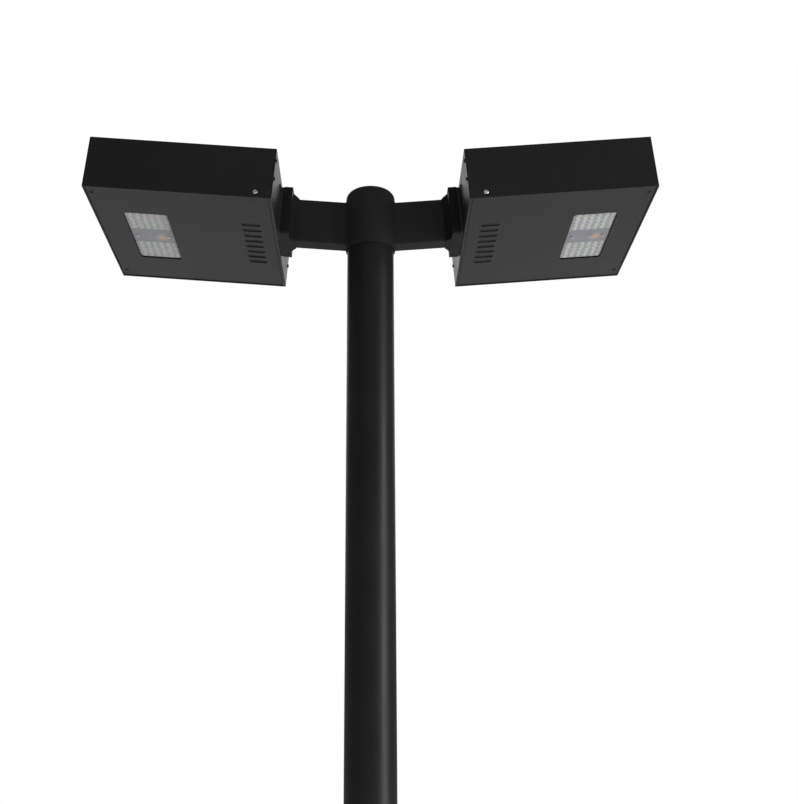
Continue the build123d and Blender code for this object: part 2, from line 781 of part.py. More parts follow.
def lens_outline(side):
    """Outline of one lens plate: its two corners next to the window's corners are cut."""
    with BuildSketch() as outline:
        with Locations((WINDOW_X, side * LENS_MODULE_OFFSET)):
            Rectangle(LENS_MODULE_LENGTH, LENS_MODULE_WIDTH)
        outer = outline.vertices().sort_by(Axis.Y)
        chamfer(outer[-2:] if side > 0 else outer[:2], LENS_CORNER)
    return outline.sketch


def lens_clamp(head):
    """Bar between the two lens plates that holds down their inner edges."""
    width = 2 * (LENS_MODULE_OFFSET - LENS_MODULE_WIDTH / 2 - CLAMP_FIT)
    with BuildPart() as clamp:
        with BuildSketch(head.offset(CLAMP_FACE)):
            with Locations((WINDOW_X, 0)):
                RectangleRounded(LENS_MODULE_LENGTH, width + 2 * CLAMP_LIP, EDGE_RADIUS)
        extrude(amount=LENS_FACE - CLAMP_FACE)
        with BuildSketch(head.offset(LENS_FACE)):
            with Locations((WINDOW_X, 0)):
                Rectangle(LENS_MODULE_LENGTH, width)
        extrude(amount=BOARD_Z - LENS_FACE)
        with BuildSketch(head.offset(CLAMP_FACE)):
            with Locations(*clamp_screw_places()):
                Circle(SCREW_HOLE_RADIUS)
        extrude(amount=BOARD_Z - CLAMP_FACE, mode=Mode.SUBTRACT)
    return clamp


def led_board(head):
    with BuildPart() as board:
        with BuildSketch(head.offset(BOARD_Z)):
            with Locations((WINDOW_X, 0)):
                RectangleRounded(BOARD_LENGTH, BOARD_WIDTH, LENS_RIM)
            with Locations(*clamp_screw_places()):
                Circle(SCREW_HOLE_RADIUS, mode=Mode.SUBTRACT)
        extrude(amount=BOARD_THICKNESS)
    return board


def led_chips(head):
    """One light-emitting package behind each lens."""
    with BuildPart() as chips:
        with BuildSketch(head.offset(BOARD_Z)):
            for side in (-1, 1):
                with Locations((WINDOW_X, side * LENS_MODULE_OFFSET)):
                    with GridLocations(LENS_PITCH, LENS_PITCH, LENS_COLUMNS, LENS_ROWS):
                        Rectangle(CHIP_SIDE, CHIP_SIDE)
        extrude(amount=-CHIP_HEIGHT)
    return chips


def heat_sink(head):
    """Finned aluminium plate behind the board, hung from the deck by four standoffs."""
    with BuildPart() as sink:
        with BuildSketch(head.offset(SINK_Z)):
            with Locations((WINDOW_X, 0)):
                RectangleRounded(SINK_LENGTH, SINK_WIDTH, LENS_RIM)
            with Locations(*standoff_places(), *clamp_screw_places()):
                Circle(SCREW_HOLE_RADIUS, mode=Mode.SUBTRACT)
        extrude(amount=SINK_BASE)
        with BuildSketch(head.offset(SINK_Z + SINK_BASE)):
            with Locations((WINDOW_X, 0)):
                with GridLocations(0, SINK_FIN_PITCH, 1, SINK_FIN_COUNT):
                    Rectangle(SINK_LENGTH, SINK_FIN_THICKNESS)
        extrude(amount=SINK_FIN_HEIGHT)
    return sink


def led_standoffs(heads):
    with BuildPart() as standoffs:
        for head in heads:
            with BuildSketch(head.offset(SINK_Z + SINK_BASE)):
                with Locations(*standoff_places()):
                    RegularPolygon(STANDOFF_FLATS / 2, 6, major_radius=False)
            extrude(amount=DECK_UNDERSIDE - SINK_Z - SINK_BASE)
            with BuildSketch(head.offset(SINK_Z + SINK_BASE)):
                with Locations(*standoff_places()):
                    Circle(SCREW_HOLE_RADIUS)
            extrude(amount=SCREW_LENGTH, mode=Mode.SUBTRACT)
    return standoffs


# ---- battery and controller -----------------------------------------------------------------------------


def battery_cells(head):
    with BuildPart() as cells:
        with BuildSketch(end_view(head, CELL_START)):
            with Locations((0, PACK_MIDDLE_Z)):
                with GridLocations(CELL_PITCH, CELL_PITCH, CELL_COLUMNS, 2):
                    Circle(CELL_RADIUS)
        extrude(amount=CELL_LENGTH)
    return cells


def battery_holders(head):
    """Two moulded end plates with a pocket for each cell."""
    first = CELL_START + HOLDER_POCKET - HOLDER_THICKNESS
    second = CELL_START + CELL_LENGTH - HOLDER_POCKET
    with BuildPart() as holders:
        for start in (first, second):
            with BuildSketch(end_view(head, start)):
                with Locations((0, PACK_MIDDLE_Z)):
                    RectangleRounded(HOLDER_WIDTH, HOLDER_HEIGHT, FLANGE_CORNER)
            extrude(amount=HOLDER_THICKNESS)
        with BuildSketch(end_view(head, CELL_START)):
            with Locations((0, PACK_MIDDLE_Z)):
                with GridLocations(CELL_PITCH, CELL_PITCH, CELL_COLUMNS, 2):
                    Circle(CELL_RADIUS + POCKET_FIT)
        extrude(amount=CELL_LENGTH, mode=Mode.SUBTRACT)
    return holders


def strap_half_width():
    return (CELL_COLUMNS - 1) * CELL_PITCH / 2 + CELL_RADIUS + STRAP_FIT


def battery_strap(head):
    """Folded steel strap under the cells, with a foot at each side screwed to the deck."""
    inside = strap_half_width()
    outside = inside + STRAP_THICKNESS
    drop = DECK_UNDERSIDE - PACK_MIDDLE_Z + CELL_PITCH / 2 + CELL_RADIUS + STRAP_FIT
    start = CELL_START + (CELL_LENGTH - STRAP_LENGTH) / 2
    hung = (Align.CENTER, Align.MAX)
    with BuildPart() as strap:
        with BuildSketch(end_view(head, start)):
            with Locations((0, DECK_UNDERSIDE)):
                Rectangle(2 * outside, drop + STRAP_THICKNESS, align=hung)
                Rectangle(2 * (outside + STRAP_FOOT), STRAP_THICKNESS, align=hung)
                Rectangle(2 * inside, drop, align=hung, mode=Mode.SUBTRACT)
        extrude(amount=STRAP_LENGTH)
        with BuildSketch(head.offset(DECK_UNDERSIDE - STRAP_THICKNESS)):
            with Locations(*strap_screw_places()):
                Circle(SCREW_HOLE_RADIUS)
        extrude(amount=STRAP_THICKNESS, mode=Mode.SUBTRACT)
    return strap


def controller(head):
    """Potted box with two tabs and a stepped well for its push button."""
    base = DECK_UNDERSIDE - CONTROLLER_HEIGHT
    tabs = CONTROLLER_WIDTH + 2 * CONTROLLER_TAB
    chamber = BUTTON_SHOULDER_HEIGHT + BUTTON_TRAVEL + 2 * BUTTON_FIT
    with BuildPart() as box:
        with BuildSketch(head.offset(base)):
            with Locations((CONTROLLER_X, 0)):
                RectangleRounded(CONTROLLER_LENGTH, CONTROLLER_WIDTH, CONTROLLER_EDGE)
        extrude(amount=CONTROLLER_HEIGHT)
        with BuildSketch(head.offset(DECK_UNDERSIDE - STRAP_THICKNESS)):
            with Locations((CONTROLLER_X, 0)):
                RectangleRounded(CONTROLLER_TAB_WIDTH, tabs, CONTROLLER_EDGE)
            with Locations(*controller_screw_places()):
                Circle(SCREW_HOLE_RADIUS, mode=Mode.SUBTRACT)
        extrude(amount=STRAP_THICKNESS)
        with BuildSketch(head.offset(base)):
            with Locations((BUTTON_X, BUTTON_Y)):
                Circle(BUTTON_RADIUS + BUTTON_FIT)
        extrude(amount=BUTTON_COLLAR, mode=Mode.SUBTRACT)
        with BuildSketch(head.offset(base + BUTTON_COLLAR)):
            with Locations((BUTTON_X, BUTTON_Y)):
                Circle(BUTTON_SHOULDER + BUTTON_FIT)
        extrude(amount=chamber, mode=Mode.SUBTRACT)
    return box


def power_button(head):
    """Round button with a rounded face below and a shoulder that keeps it in the controller."""
    base = DECK_UNDERSIDE - CONTROLLER_HEIGHT
    shoulder = base + BUTTON_COLLAR + BUTTON_FIT
    with BuildPart() as button:
        with BuildSketch(head.offset(base - BUTTON_STAND_OUT)):
            with Locations((BUTTON_X, BUTTON_Y)):
                Circle(BUTTON_RADIUS)
        extrude(amount=shoulder - base + BUTTON_STAND_OUT)
        fillet(button.edges().sort_by(Axis((0, 0, 0), head.z_dir))[0], BUTTON_EDGE)
        with BuildSketch(head.offset(shoulder)):
            with Locations((BUTTON_X, BUTTON_Y)):
                Circle(BUTTON_SHOULDER)
        extrude(amount=BUTTON_SHOULDER_HEIGHT)
    return button


def lead_routes():
    """Points of each lead in a head: battery, light and panel, each ending at the controller."""
    entry_y = CONTROLLER_WIDTH / 2
    entry_z = DECK_UNDERSIDE - CONTROLLER_HEIGHT / 2
    holder_x = CELL_START + CELL_LENGTH - HOLDER_POCKET + HOLDER_THICKNESS
    sink_x = WINDOW_X - SINK_LENGTH / 2
    sink_z = SINK_Z + SINK_BASE / 2
    panel_x = JUNCTION_BOX_PLACE[0] - JUNCTION_BOX[0] / 2
    panel_y = JUNCTION_BOX_PLACE[1]
    battery_x = CONTROLLER_X - LEAD_SPREAD
    battery_y = entry_y + BATTERY_LEAD_OUT
    light_x = CONTROLLER_X + LEAD_SPREAD
    panel_end_x = CONTROLLER_X + PANEL_LEAD_X
    battery = [
        (holder_x, battery_y, BATTERY_LEAD_Z),
        (battery_x, battery_y, BATTERY_LEAD_Z),
        (battery_x, battery_y, entry_z),
        (battery_x, entry_y, entry_z),
    ]
    light = [
        (sink_x, LIGHT_LEAD_Y, sink_z),
        (light_x, LIGHT_LEAD_Y, sink_z),
        (light_x, LIGHT_LEAD_Y, DECK_UNDERSIDE - CONTROLLER_HEIGHT),
    ]
    panel = [
        (panel_x, panel_y, entry_z + PANEL_LEAD_LIFT),
        (panel_x - PANEL_LEAD_RUN, panel_y, entry_z + PANEL_LEAD_LIFT),
        (panel_end_x, entry_y + PANEL_LEAD_RUN, entry_z),
        (panel_end_x, entry_y, entry_z),
    ]
    return battery, light, panel


def wiring_harness(head):
    """Three leads with round bends, each as wide as its two runs allow."""
    with BuildPart() as harness:
        for route in lead_routes():
            points = [head.from_local_coords(point) for point in route]
            runs = [after - before for before, after in zip(points, points[1:])]
            radii = [
                LEAD_ARC_SHARE * min(one.length, two.length) / tan(radians(one.get_angle(two) / 2))
                for one, two in zip(runs, runs[1:])
            ]
            with BuildLine() as path:
                FilletPolyline(*points, radius=radii)
            with BuildSketch(Plane(path.line @ 0, z_dir=path.line % 0)):
                Circle(LEAD_RADIUS)
            sweep(path=path.line)
    return harness


# ---- screws shared by both heads ------------------------------------------------------------------------


def clamp_screws(heads):
    """Plated pan head screws that pull each lens clamp against the heat sink."""
    sizes = (SCREW_RADIUS, SCREW_LENGTH, SCREW_HEAD_RADIUS, SCREW_HEAD_HEIGHT)
    places = clamp_screw_places()
    screws = [slotted_screws(facing_down(head, CLAMP_FACE), places, *sizes).part for head in heads]
    with BuildPart() as group:
        add(screws)
    return group


def case_screws(heads):
    """All the small pan head screws: end plate, panel frame, strap, controller and light engine."""
    feet = strap_screw_places() + controller_screw_places()
    sets = []
    for head in heads:
        towards_pole = Plane(head.origin, x_dir=-head.y_dir, z_dir=-head.x_dir)
        sunk = head.offset(HEAD_HEIGHT - SCREW_HEAD_HEIGHT)
        under_feet = facing_down(head, DECK_UNDERSIDE - STRAP_THICKNESS)
        sets.append((towards_pole, end_screw_places(), SCREW_LENGTH))
        sets.append((sunk, frame_screw_places(), FRAME_SCREW_LENGTH))
        sets.append((under_feet, feet, SHORT_SCREW_LENGTH))
        sets.append((facing_down(head, SINK_Z), standoff_places(), SCREW_LENGTH))
    screws = [
        slotted_screws(seat, places, SCREW_RADIUS, length, SCREW_HEAD_RADIUS, SCREW_HEAD_HEIGHT).part
        for seat, places, length in sets
    ]
    with BuildPart() as group:
        add(screws)
    return group


# ---- the whole lamp -------------------------------------------------------------------------------------


def head_pieces(head):
    backing_top = DECK_TOP + BACKING_THICKNESS
    glass_base = backing_top + CELL_THICKNESS
    return {
        "arm": arm(head),
        "arm_flange": arm_flange(head),
        "flange_gasket": flange_gasket(head),
        "mount_plate": mount_plate(head),
        "housing": housing(head),
        "end_plate": end_plate(head),
        "panel_frame": panel_frame(head),
        "solar_glass": panel_sheet(head, glass_base, GLASS_THICKNESS),
        "solar_cells": solar_cells(head),
        "panel_backing": panel_sheet(head, DECK_TOP, BACKING_THICKNESS),
        "junction_box": junction_box(head),
        "door": door(head),
        "vent_screen": vent_screen(head),
        "closing_screws": closing_screws(head),
        "lens_modules": lens_modules(head),
        "lens_clamp": lens_clamp(head),
        "led_board": led_board(head),
        "led_chips": led_chips(head),
        "heat_sink": heat_sink(head),
        "battery_cells": battery_cells(head),
        "battery_holders": battery_holders(head),
        "battery_strap": battery_strap(head),
        "controller": controller(head),
        "power_button": power_button(head),
        "wiring_harness": wiring_harness(head),
    }


sides = {"right": head_plane(1), "left": head_plane(-1)}
heads = list(sides.values())
pieces = {
    "pole_tube": pole_tube(),
    "base_plate": base_plate(),
    "sleeve": sleeve(),
    "sleeve_cap": sleeve_cap(),
    "set_screws": set_screws(),
    "flange_bolts": flange_bolts(heads),
    "pivot_screws": pivot_screws(heads),
    "clamp_screws": clamp_screws(heads),
    "case_screws": case_screws(heads),
    "led_standoffs": led_standoffs(heads),
}
for side_name, plane in sides.items():
    for piece_name, piece in head_pieces(plane).items():
        pieces[f"{side_name}_{piece_name}"] = piece

os.makedirs("parts", exist_ok=True)
for name, piece in pieces.items():
    piece.part.label = name
    export_step(piece.part, f"parts/{name}.step")
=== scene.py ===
from math import cos, pi, radians, sin, sqrt

import bmesh
import bpy
from mathutils import Matrix, Vector, noise


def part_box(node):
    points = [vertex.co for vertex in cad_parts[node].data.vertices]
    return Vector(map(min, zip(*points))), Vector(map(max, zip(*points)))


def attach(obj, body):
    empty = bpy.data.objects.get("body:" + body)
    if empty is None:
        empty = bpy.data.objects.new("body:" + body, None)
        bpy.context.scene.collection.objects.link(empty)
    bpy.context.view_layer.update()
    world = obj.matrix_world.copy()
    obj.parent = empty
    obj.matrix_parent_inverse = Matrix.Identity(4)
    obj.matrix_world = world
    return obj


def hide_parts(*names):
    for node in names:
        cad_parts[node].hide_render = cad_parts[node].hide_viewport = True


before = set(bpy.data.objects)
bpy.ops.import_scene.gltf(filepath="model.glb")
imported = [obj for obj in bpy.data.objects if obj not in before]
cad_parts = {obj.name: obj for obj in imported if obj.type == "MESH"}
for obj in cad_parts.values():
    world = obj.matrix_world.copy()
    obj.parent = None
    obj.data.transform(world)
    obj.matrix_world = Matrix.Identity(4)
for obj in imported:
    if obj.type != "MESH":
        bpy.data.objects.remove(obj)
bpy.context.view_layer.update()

# ---- places and sizes, in metres ----------------------------------------------------------------

SIDES = {"right": 1, "left": -1}

sleeve_low, sleeve_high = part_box("sleeve")
_, cap_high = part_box("sleeve_cap")
tube_low, tube_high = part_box("pole_tube")
SLEEVE_RADIUS = (sleeve_high.x - sleeve_low.x) / 2
TUBE_RADIUS = (tube_high.x - tube_low.x) / 2
# the base plate's upper face, which its box doesn't give: the box takes in the weld collar too
PLATE_TOP = 0.019

# where a head starts: how far out, how far below the cap's top, and the angle it rises at
HEAD_REACH = 0.201
HEAD_DROP = 0.126
HEAD_BASE = cap_high.z - HEAD_DROP
RISE = radians(4.3)

# in the head frame: x outwards from the head's inner end, y across it, z up from its underside
# (the opening is the panel frame's, a little smaller than the glass that lies under its lip)
WINDOW_X = 0.2785
LENS_MODULE_Y = 0.0675
LED_X = 0.271
LED_HALF_PITCH = 0.0075
ARM_HALF_WIDTH = 0.01905
ARM_HALF_HEIGHT = 0.0508
ARM_CORNER = 0.003
ARM_MIDDLE_Z = 0.0578
OPENING_INNER_X = 0.018
OPENING_OUTER_X = 0.370
OPENING_HALF_WIDTH = 0.198
GLASS_TOP = 0.1072
CELLS_X = 0.194
CELLS_TOP = 0.10400
CELL_PITCH_X = 0.0565
CELL_PITCH_Y = 0.06383
CONTROLLER_UNDERSIDE = 0.068
PIVOT_X, PIVOT_Y, PIVOT_Z = 0.0345, 0.216, 0.013


def head_matrix(side):
    """Head frame to lamp frame."""
    turn = Matrix.Rotation(0 if side > 0 else pi, 4, "Z")
    return turn @ Matrix.Translation((HEAD_REACH, 0, HEAD_BASE)) @ Matrix.Rotation(-RISE, 4, "Y")


# ---- materials ----------------------------------------------------------------------------------


def rgb(red, green, blue):
    return (red, green, blue, 1.0)


def shade(colour, factor, lift=0.0):
    return rgb(*[min(1.0, part * factor + lift) for part in colour[:3]])


def add_node(tree, kind, inputs=None, **settings):
    """Add a shader node. Each input is a constant or another node's output socket."""
    made = tree.nodes.new(kind)
    for key, value in settings.items():
        setattr(made, key, value)
    for key, value in (inputs or {}).items():
        if isinstance(value, bpy.types.NodeSocket):
            tree.links.new(value, made.inputs[key])
        else:
            made.inputs[key].default_value = value
    return made


class Finish:
    """A material built node by node. Its patterns lie in the object's own space, in metres."""

    def __init__(self, name):
        self.material = bpy.data.materials.new(name)
        self.material.use_nodes = True
        self.tree = self.material.node_tree
        self.tree.nodes.clear()
        self.place = self.node("ShaderNodeTexCoord").outputs["Object"]

    def node(self, kind, inputs=None, **settings):
        return add_node(self.tree, kind, inputs, **settings)

    def in_head(self, side):
        """Object space turned into the frame of the head on that side."""
        origin = head_matrix(side).to_translation()
        turn = (0, -RISE, 0 if side > 0 else pi)
        inputs = {"Vector": self.place, "Location": origin, "Rotation": turn}
        return self.node("ShaderNodeMapping", inputs, vector_type="TEXTURE").outputs[0]

    def stretched(self, scale, place=None):
        inputs = {"Vector": place or self.place, "Scale": scale}
        return self.node("ShaderNodeMapping", inputs).outputs[0]

    def noise(self, scale, detail=3.0, place=None):
        inputs = {"Vector": place or self.place, "Scale": scale, "Detail": detail}
        return self.node("ShaderNodeTexNoise", {**inputs, "Roughness": 0.55}).outputs["Fac"]

    def cells(self, scale):
        inputs = {"Vector": self.place, "Scale": scale}
        return self.node("ShaderNodeTexVoronoi", inputs).outputs

    def span(self, value, low, high, start, end):
        """value from low..high mapped to start..end, clamped."""
        inputs = {"From Min": low, "From Max": high, "To Min": start, "To Max": end}
        return self.node("ShaderNodeMapRange", {"Value": value, **inputs}).outputs[0]

    def math(self, operation, first, second=0.0):
        return self.node("ShaderNodeMath", {0: first, 1: second}, operation=operation).outputs[0]

    def distance(self, first, second):
        """Length of the vector that has these two components."""
        squares = [self.math("POWER", value, 2.0) for value in (first, second)]
        return self.math("SQRT", self.math("ADD", *squares))

    def blend(self, share, first, second):
        inputs = {0: share, 6: first, 7: second}
        return self.node("ShaderNodeMix", inputs, data_type="RGBA").outputs[2]

    def split(self, place):
        return self.node("ShaderNodeSeparateXYZ", {"Vector": place}).outputs

    def facing(self):
        """Components of the surface's own direction in the object's space."""
        return self.split(self.node("ShaderNodeTexCoord").outputs["Normal"])

    def rounded(self, radius):
        """Normal with every sharp edge eased by that radius."""
        return self.node("ShaderNodeBevel", {"Radius": radius}, samples=4).outputs[0]

    def edges(self, normal):
        """1 on an eased edge and 0 on a flat face."""
        true = self.node("ShaderNodeNewGeometry").outputs["Normal"]
        dot = self.node("ShaderNodeVectorMath", {0: normal, 1: true}, operation="DOT_PRODUCT")
        return self.span(dot.outputs["Value"], 0.995, 0.9, 0.0, 1.0)

    def bump(self, height, distance, normal=None):
        inputs = {"Height": height, "Distance": distance, "Strength": 1.0}
        if normal is not None:
            inputs["Normal"] = normal
        return self.node("ShaderNodeBump", inputs).outputs[0]

    def surface(self, inputs):
        shader = self.node("ShaderNodeBsdfPrincipled", inputs)
        return self.show(shader.outputs[0])

    def show(self, shader):
        self.node("ShaderNodeOutputMaterial", {"Surface": shader})
        return self.material


WORN_EDGE = rgb(0.055, 0.055, 0.056)
DUST = rgb(0.09, 0.086, 0.078)


def powder_coat(name, colour, lighter, roughness, easing, specular=0.32, dust=0.5):
    """Satin powder coat: orange peel, grain, thinner paint on edges, rain marks, dust on top."""
    f = Finish(name)
    normal = f.rounded(easing)
    peel = f.noise(330.0, 2.0)
    grain = f.noise(1900.0, 1.0)
    height = f.math("ADD", f.math("MULTIPLY", peel, 0.75), f.math("MULTIPLY", grain, 0.25))
    patches = f.noise(7.0, 4.0)
    streaks = f.noise(1.0, 5.0, f.stretched((70.0, 70.0, 3.5)))
    up = f.facing()["Z"]
    specks = f.span(f.noise(38.0, 6.0), 0.35, 0.75, dust * 0.1, dust)
    dusty = f.math("MULTIPLY", f.span(up, 0.35, 1.0, 0.0, 1.0), specks)
    chafed = f.span(f.noise(55.0, 5.0), 0.42, 0.7, 0.1, 0.8)
    worn = f.math("MULTIPLY", f.edges(normal), chafed)
    paint = f.blend(f.span(patches, 0.3, 0.7, 0.0, 1.0), colour, lighter)
    paint = f.blend(worn, paint, WORN_EDGE)
    paint = f.blend(dusty, paint, DUST)
    upright = f.span(f.math("ABSOLUTE", up), 0.3, 0.8, 1.0, 0.0)
    marks = f.math("MULTIPLY", upright, f.span(streaks, 0.3, 0.75, -0.03, 0.07))
    uneven = f.span(patches, 0.3, 0.7, -0.015, 0.015)
    return f.surface({
        "Base Color": paint,
        "Roughness": f.math("ADD", f.math("ADD", marks, roughness), uneven),
        "Specular IOR Level": specular,
        "Normal": f.bump(height, 0.00004, normal),
    })


def anodised(name, colour, roughness):
    """Dyed anodised extrusion: fine die lines along it and a slight sheen."""
    f = Finish(name)
    lines = f.noise(1.0, 3.0, f.stretched((40.0, 2600.0, 2600.0)))
    clouds = f.noise(22.0, 4.0)
    return f.surface({
        "Base Color": f.blend(clouds, colour, shade(colour, 1.7, 0.004)),
        "Metallic": 0.35,
        "Roughness": f.span(lines, 0.3, 0.7, roughness - 0.06, roughness + 0.07),
        "Normal": f.bump(lines, 0.00003, f.rounded(0.0005)),
    })


def metal(name, colour, roughness, stretch, depth, crystals=0.0):
    """Bare or plated metal: directional grain, cloudy tarnish and, on zinc, faint crystals."""
    f = Finish(name)
    grain = f.noise(1.0, 4.0, f.stretched(stretch))
    clouds = f.noise(30.0, 5.0)
    base = f.blend(f.span(clouds, 0.35, 0.7, 0.0, 0.6), colour, shade(colour, 0.72))
    if crystals:
        tone = f.split(f.cells(260.0)["Color"])["X"]
        base = f.blend(crystals, base, f.blend(tone, rgb(0.62, 0.6, 0.5), rgb(0.5, 0.56, 0.66)))
    return f.surface({
        "Base Color": base,
        "Metallic": 1.0,
        "Roughness": f.span(grain, 0.25, 0.75, roughness - 0.08, roughness + 0.1),
        "Normal": f.bump(grain, depth, f.rounded(0.0003)),
    })


def moulded(name, colour, roughness, texture, depth, subsurface=0.0, coat=0.0):
    """Moulded plastic or rubber with a spark-eroded grain, slightly uneven in colour."""
    f = Finish(name)
    grain = f.noise(texture, 2.0)
    flow = f.span(f.noise(14.0, 3.0), 0.3, 0.7, 0.0, 1.0)
    return f.surface({
        "Base Color": f.blend(flow, colour, shade(colour, 1.5, 0.006)),
        "Roughness": f.span(grain, 0.3, 0.7, roughness - 0.06, roughness + 0.08),
        "Subsurface Weight": subsurface,
        "Coat Weight": coat,
        "Normal": f.bump(grain, depth, f.rounded(0.0004)),
    })


def panel_glass(name):
    """Tempered cover glass, faintly rolled and dusty, clear to what is under it."""
    f = Finish(name)
    normal = f.bump(f.noise(520.0, 1.0), 0.00002)
    gloss = f.node("ShaderNodeBsdfGlossy", {
        "Color": rgb(1.0, 1.0, 1.0),
        "Roughness": f.span(f.noise(30.0, 5.0), 0.3, 0.7, 0.03, 0.12),
        "Normal": normal,
    }).outputs[0]
    clear = f.node("ShaderNodeBsdfTransparent", {"Color": rgb(0.95, 0.975, 0.965)}).outputs[0]
    film = f.node("ShaderNodeBsdfDiffuse", {"Color": rgb(0.32, 0.3, 0.27)}).outputs[0]
    fresnel = f.node("ShaderNodeFresnel", {"IOR": 1.5, "Normal": normal}).outputs[0]
    glass = f.node("ShaderNodeMixShader", {0: fresnel, 1: clear, 2: gloss}).outputs[0]
    dust = f.span(f.noise(9.0, 7.0), 0.42, 0.8, 0.0, 0.16)
    return f.show(f.node("ShaderNodeMixShader", {0: dust, 1: glass, 2: film}).outputs[0])


def silicon(name, side):
    """Monocrystalline cells: uneven dark blue, with fine silver fingers across them."""
    f = Finish(name)
    along = f.split(f.in_head(side))["X"]
    tone = f.span(f.noise(9.0, 1.0), 0.35, 0.65, 0.0, 1.0)
    crystal = f.noise(420.0, 2.0)
    finger = f.math("LESS_THAN", f.math("PINGPONG", along, 0.0009), 0.00007)
    blue = f.blend(tone, rgb(0.0045, 0.008, 0.024), rgb(0.008, 0.016, 0.05))
    blue = f.blend(f.span(crystal, 0.4, 0.7, 0.0, 0.35), blue, rgb(0.012, 0.02, 0.06))
    return f.surface({
        "Base Color": f.blend(f.math("MULTIPLY", finger, 0.55), blue, rgb(0.32, 0.33, 0.36)),
        "Metallic": 0.15,
        "Roughness": f.span(crystal, 0.3, 0.7, 0.28, 0.42),
        "Normal": f.bump(crystal, 0.00002),
    })


def lens_plastic(name, side):
    """Moulded optics: milky, with faint painted colour standing in for the light that the domes
    bend.
    """
    f = Finish(name)
    place = f.in_head(side)
    # faint green and violet tones in the milk: painted colour of the light the domes bend
    painted_light_tint = f.span(f.noise(26.0, 1.0, place), 0.38, 0.62, 0.0, 1.0)
    milk_with_painted_light = f.blend(painted_light_tint, rgb(0.535, 0.57, 0.55), rgb(0.565, 0.545, 0.575))
    # orange spots in the milk: painted colour of the bent light
    painted_orange_light = f.span(f.noise(21.0, 2.0, f.stretched((1.0, 2.0, 1.0), place)), 0.58, 0.74, 0.0, 0.6)
    milk_with_painted_light = f.blend(painted_orange_light, milk_with_painted_light, rgb(0.585, 0.53, 0.45))
    flow = f.noise(120.0, 2.0)
    clear = f.node("ShaderNodeBsdfPrincipled", {
        "Base Color": rgb(0.93, 0.95, 0.94),
        "Roughness": f.span(flow, 0.3, 0.7, 0.1, 0.18),
        "IOR": 1.49,
        "Transmission Weight": 1.0,
        "Normal": f.bump(flow, 0.00002),
    }).outputs[0]
    milk = f.node("ShaderNodeBsdfDiffuse", {"Color": milk_with_painted_light}).outputs[0]
    share = f.span(flow, 0.3, 0.7, 0.80, 0.88)
    body = f.node("ShaderNodeMixShader", {0: share, 1: clear, 2: milk}).outputs[0]
    through = f.node("ShaderNodeBsdfTransparent", {"Color": rgb(0.9, 0.91, 0.91)}).outputs[0]
    shadow = f.node("ShaderNodeLightPath").outputs["Is Shadow Ray"]
    return f.show(f.node("ShaderNodeMixShader", {0: shadow, 1: body, 2: through}).outputs[0])


def clamp_plastic(name, side):
    """Moulded bar: grey with a purple cast, and painted patches of the orange and purple light that
    the optics throw.
    """
    f = Finish(name)
    place = f.split(f.in_head(side))
    grain = f.noise(1300.0, 2.0)
    flow = f.noise(30.0, 3.0)
    cast = f.span(flow, 0.3, 0.7, 0.0, 1.0)

    # mask of one painted patch of thrown light, round with a wandering edge
    def patch(x, y, reach):
        along = f.math("SUBTRACT", place["X"], x)
        across = f.math("SUBTRACT", place["Y"], y)
        wander = f.math("MULTIPLY", f.math("SUBTRACT", flow, 0.5), reach * 0.7)
        return f.span(f.math("ADD", f.distance(along, across), wander), 0.0, reach, 1.0, 0.0)

    # painted orange and purple pools of the light thrown by the optics
    painted_orange_light = patch(WINDOW_X + side * 0.017, side * 0.004, 0.019)
    painted_violet_light = patch(WINDOW_X + side * 0.004, side * -0.006, 0.012)
    base = f.blend(cast, rgb(0.255, 0.25, 0.285), rgb(0.3, 0.295, 0.328))
    base = f.blend(painted_orange_light, base, rgb(0.60, 0.44, 0.31))
    base = f.blend(painted_violet_light, base, rgb(0.23, 0.215, 0.31))
    return f.surface({
        "Base Color": base,
        "Roughness": f.span(grain, 0.3, 0.7, 0.34, 0.46),
        "Normal": f.bump(grain, 0.00003, f.rounded(0.0004)),
    })


def from_led_row(f, y):
    """Distance across the head from the nearest row of light sources."""
    from_module = f.math("SUBTRACT", f.math("ABSOLUTE", y), LENS_MODULE_Y)
    return f.math("PINGPONG", from_module, LED_HALF_PITCH)


def circuit(name, side):
    """White solder mask over faint copper tracks that run between the light sources."""
    f = Finish(name)
    track = f.math("LESS_THAN", from_led_row(f, f.split(f.in_head(side))["Y"]), 0.0016)
    lumps = f.noise(700.0, 2.0)
    white = f.blend(f.noise(24.0, 3.0), rgb(0.78, 0.79, 0.76), rgb(0.86, 0.86, 0.84))
    return f.surface({
        "Base Color": f.blend(f.math("MULTIPLY", track, 0.5), white, rgb(0.66, 0.7, 0.64)),
        "Roughness": f.span(lumps, 0.3, 0.7, 0.3, 0.42),
        "Normal": f.bump(track, 0.00003, f.bump(lumps, 0.00001)),
    })


def phosphor(name, side):
    """Light source: a yellow disc of phosphor in a white package."""
    f = Finish(name)
    place = f.split(f.in_head(side))
    along = f.math("PINGPONG", f.math("SUBTRACT", place["X"], LED_X), LED_HALF_PITCH)
    off_middle = f.distance(along, from_led_row(f, place["Y"]))
    disc = f.span(off_middle, 0.00105, 0.00125, 1.0, 0.0)
    speckle = f.noise(3000.0, 2.0)
    yellow = f.blend(speckle, rgb(0.78, 0.5, 0.08), rgb(0.86, 0.66, 0.18))
    return f.surface({
        "Base Color": f.blend(disc, rgb(0.8, 0.8, 0.78), yellow),
        "Roughness": f.span(speckle, 0.3, 0.7, 0.25, 0.4),
        "Normal": f.bump(speckle, 0.00001),
    })


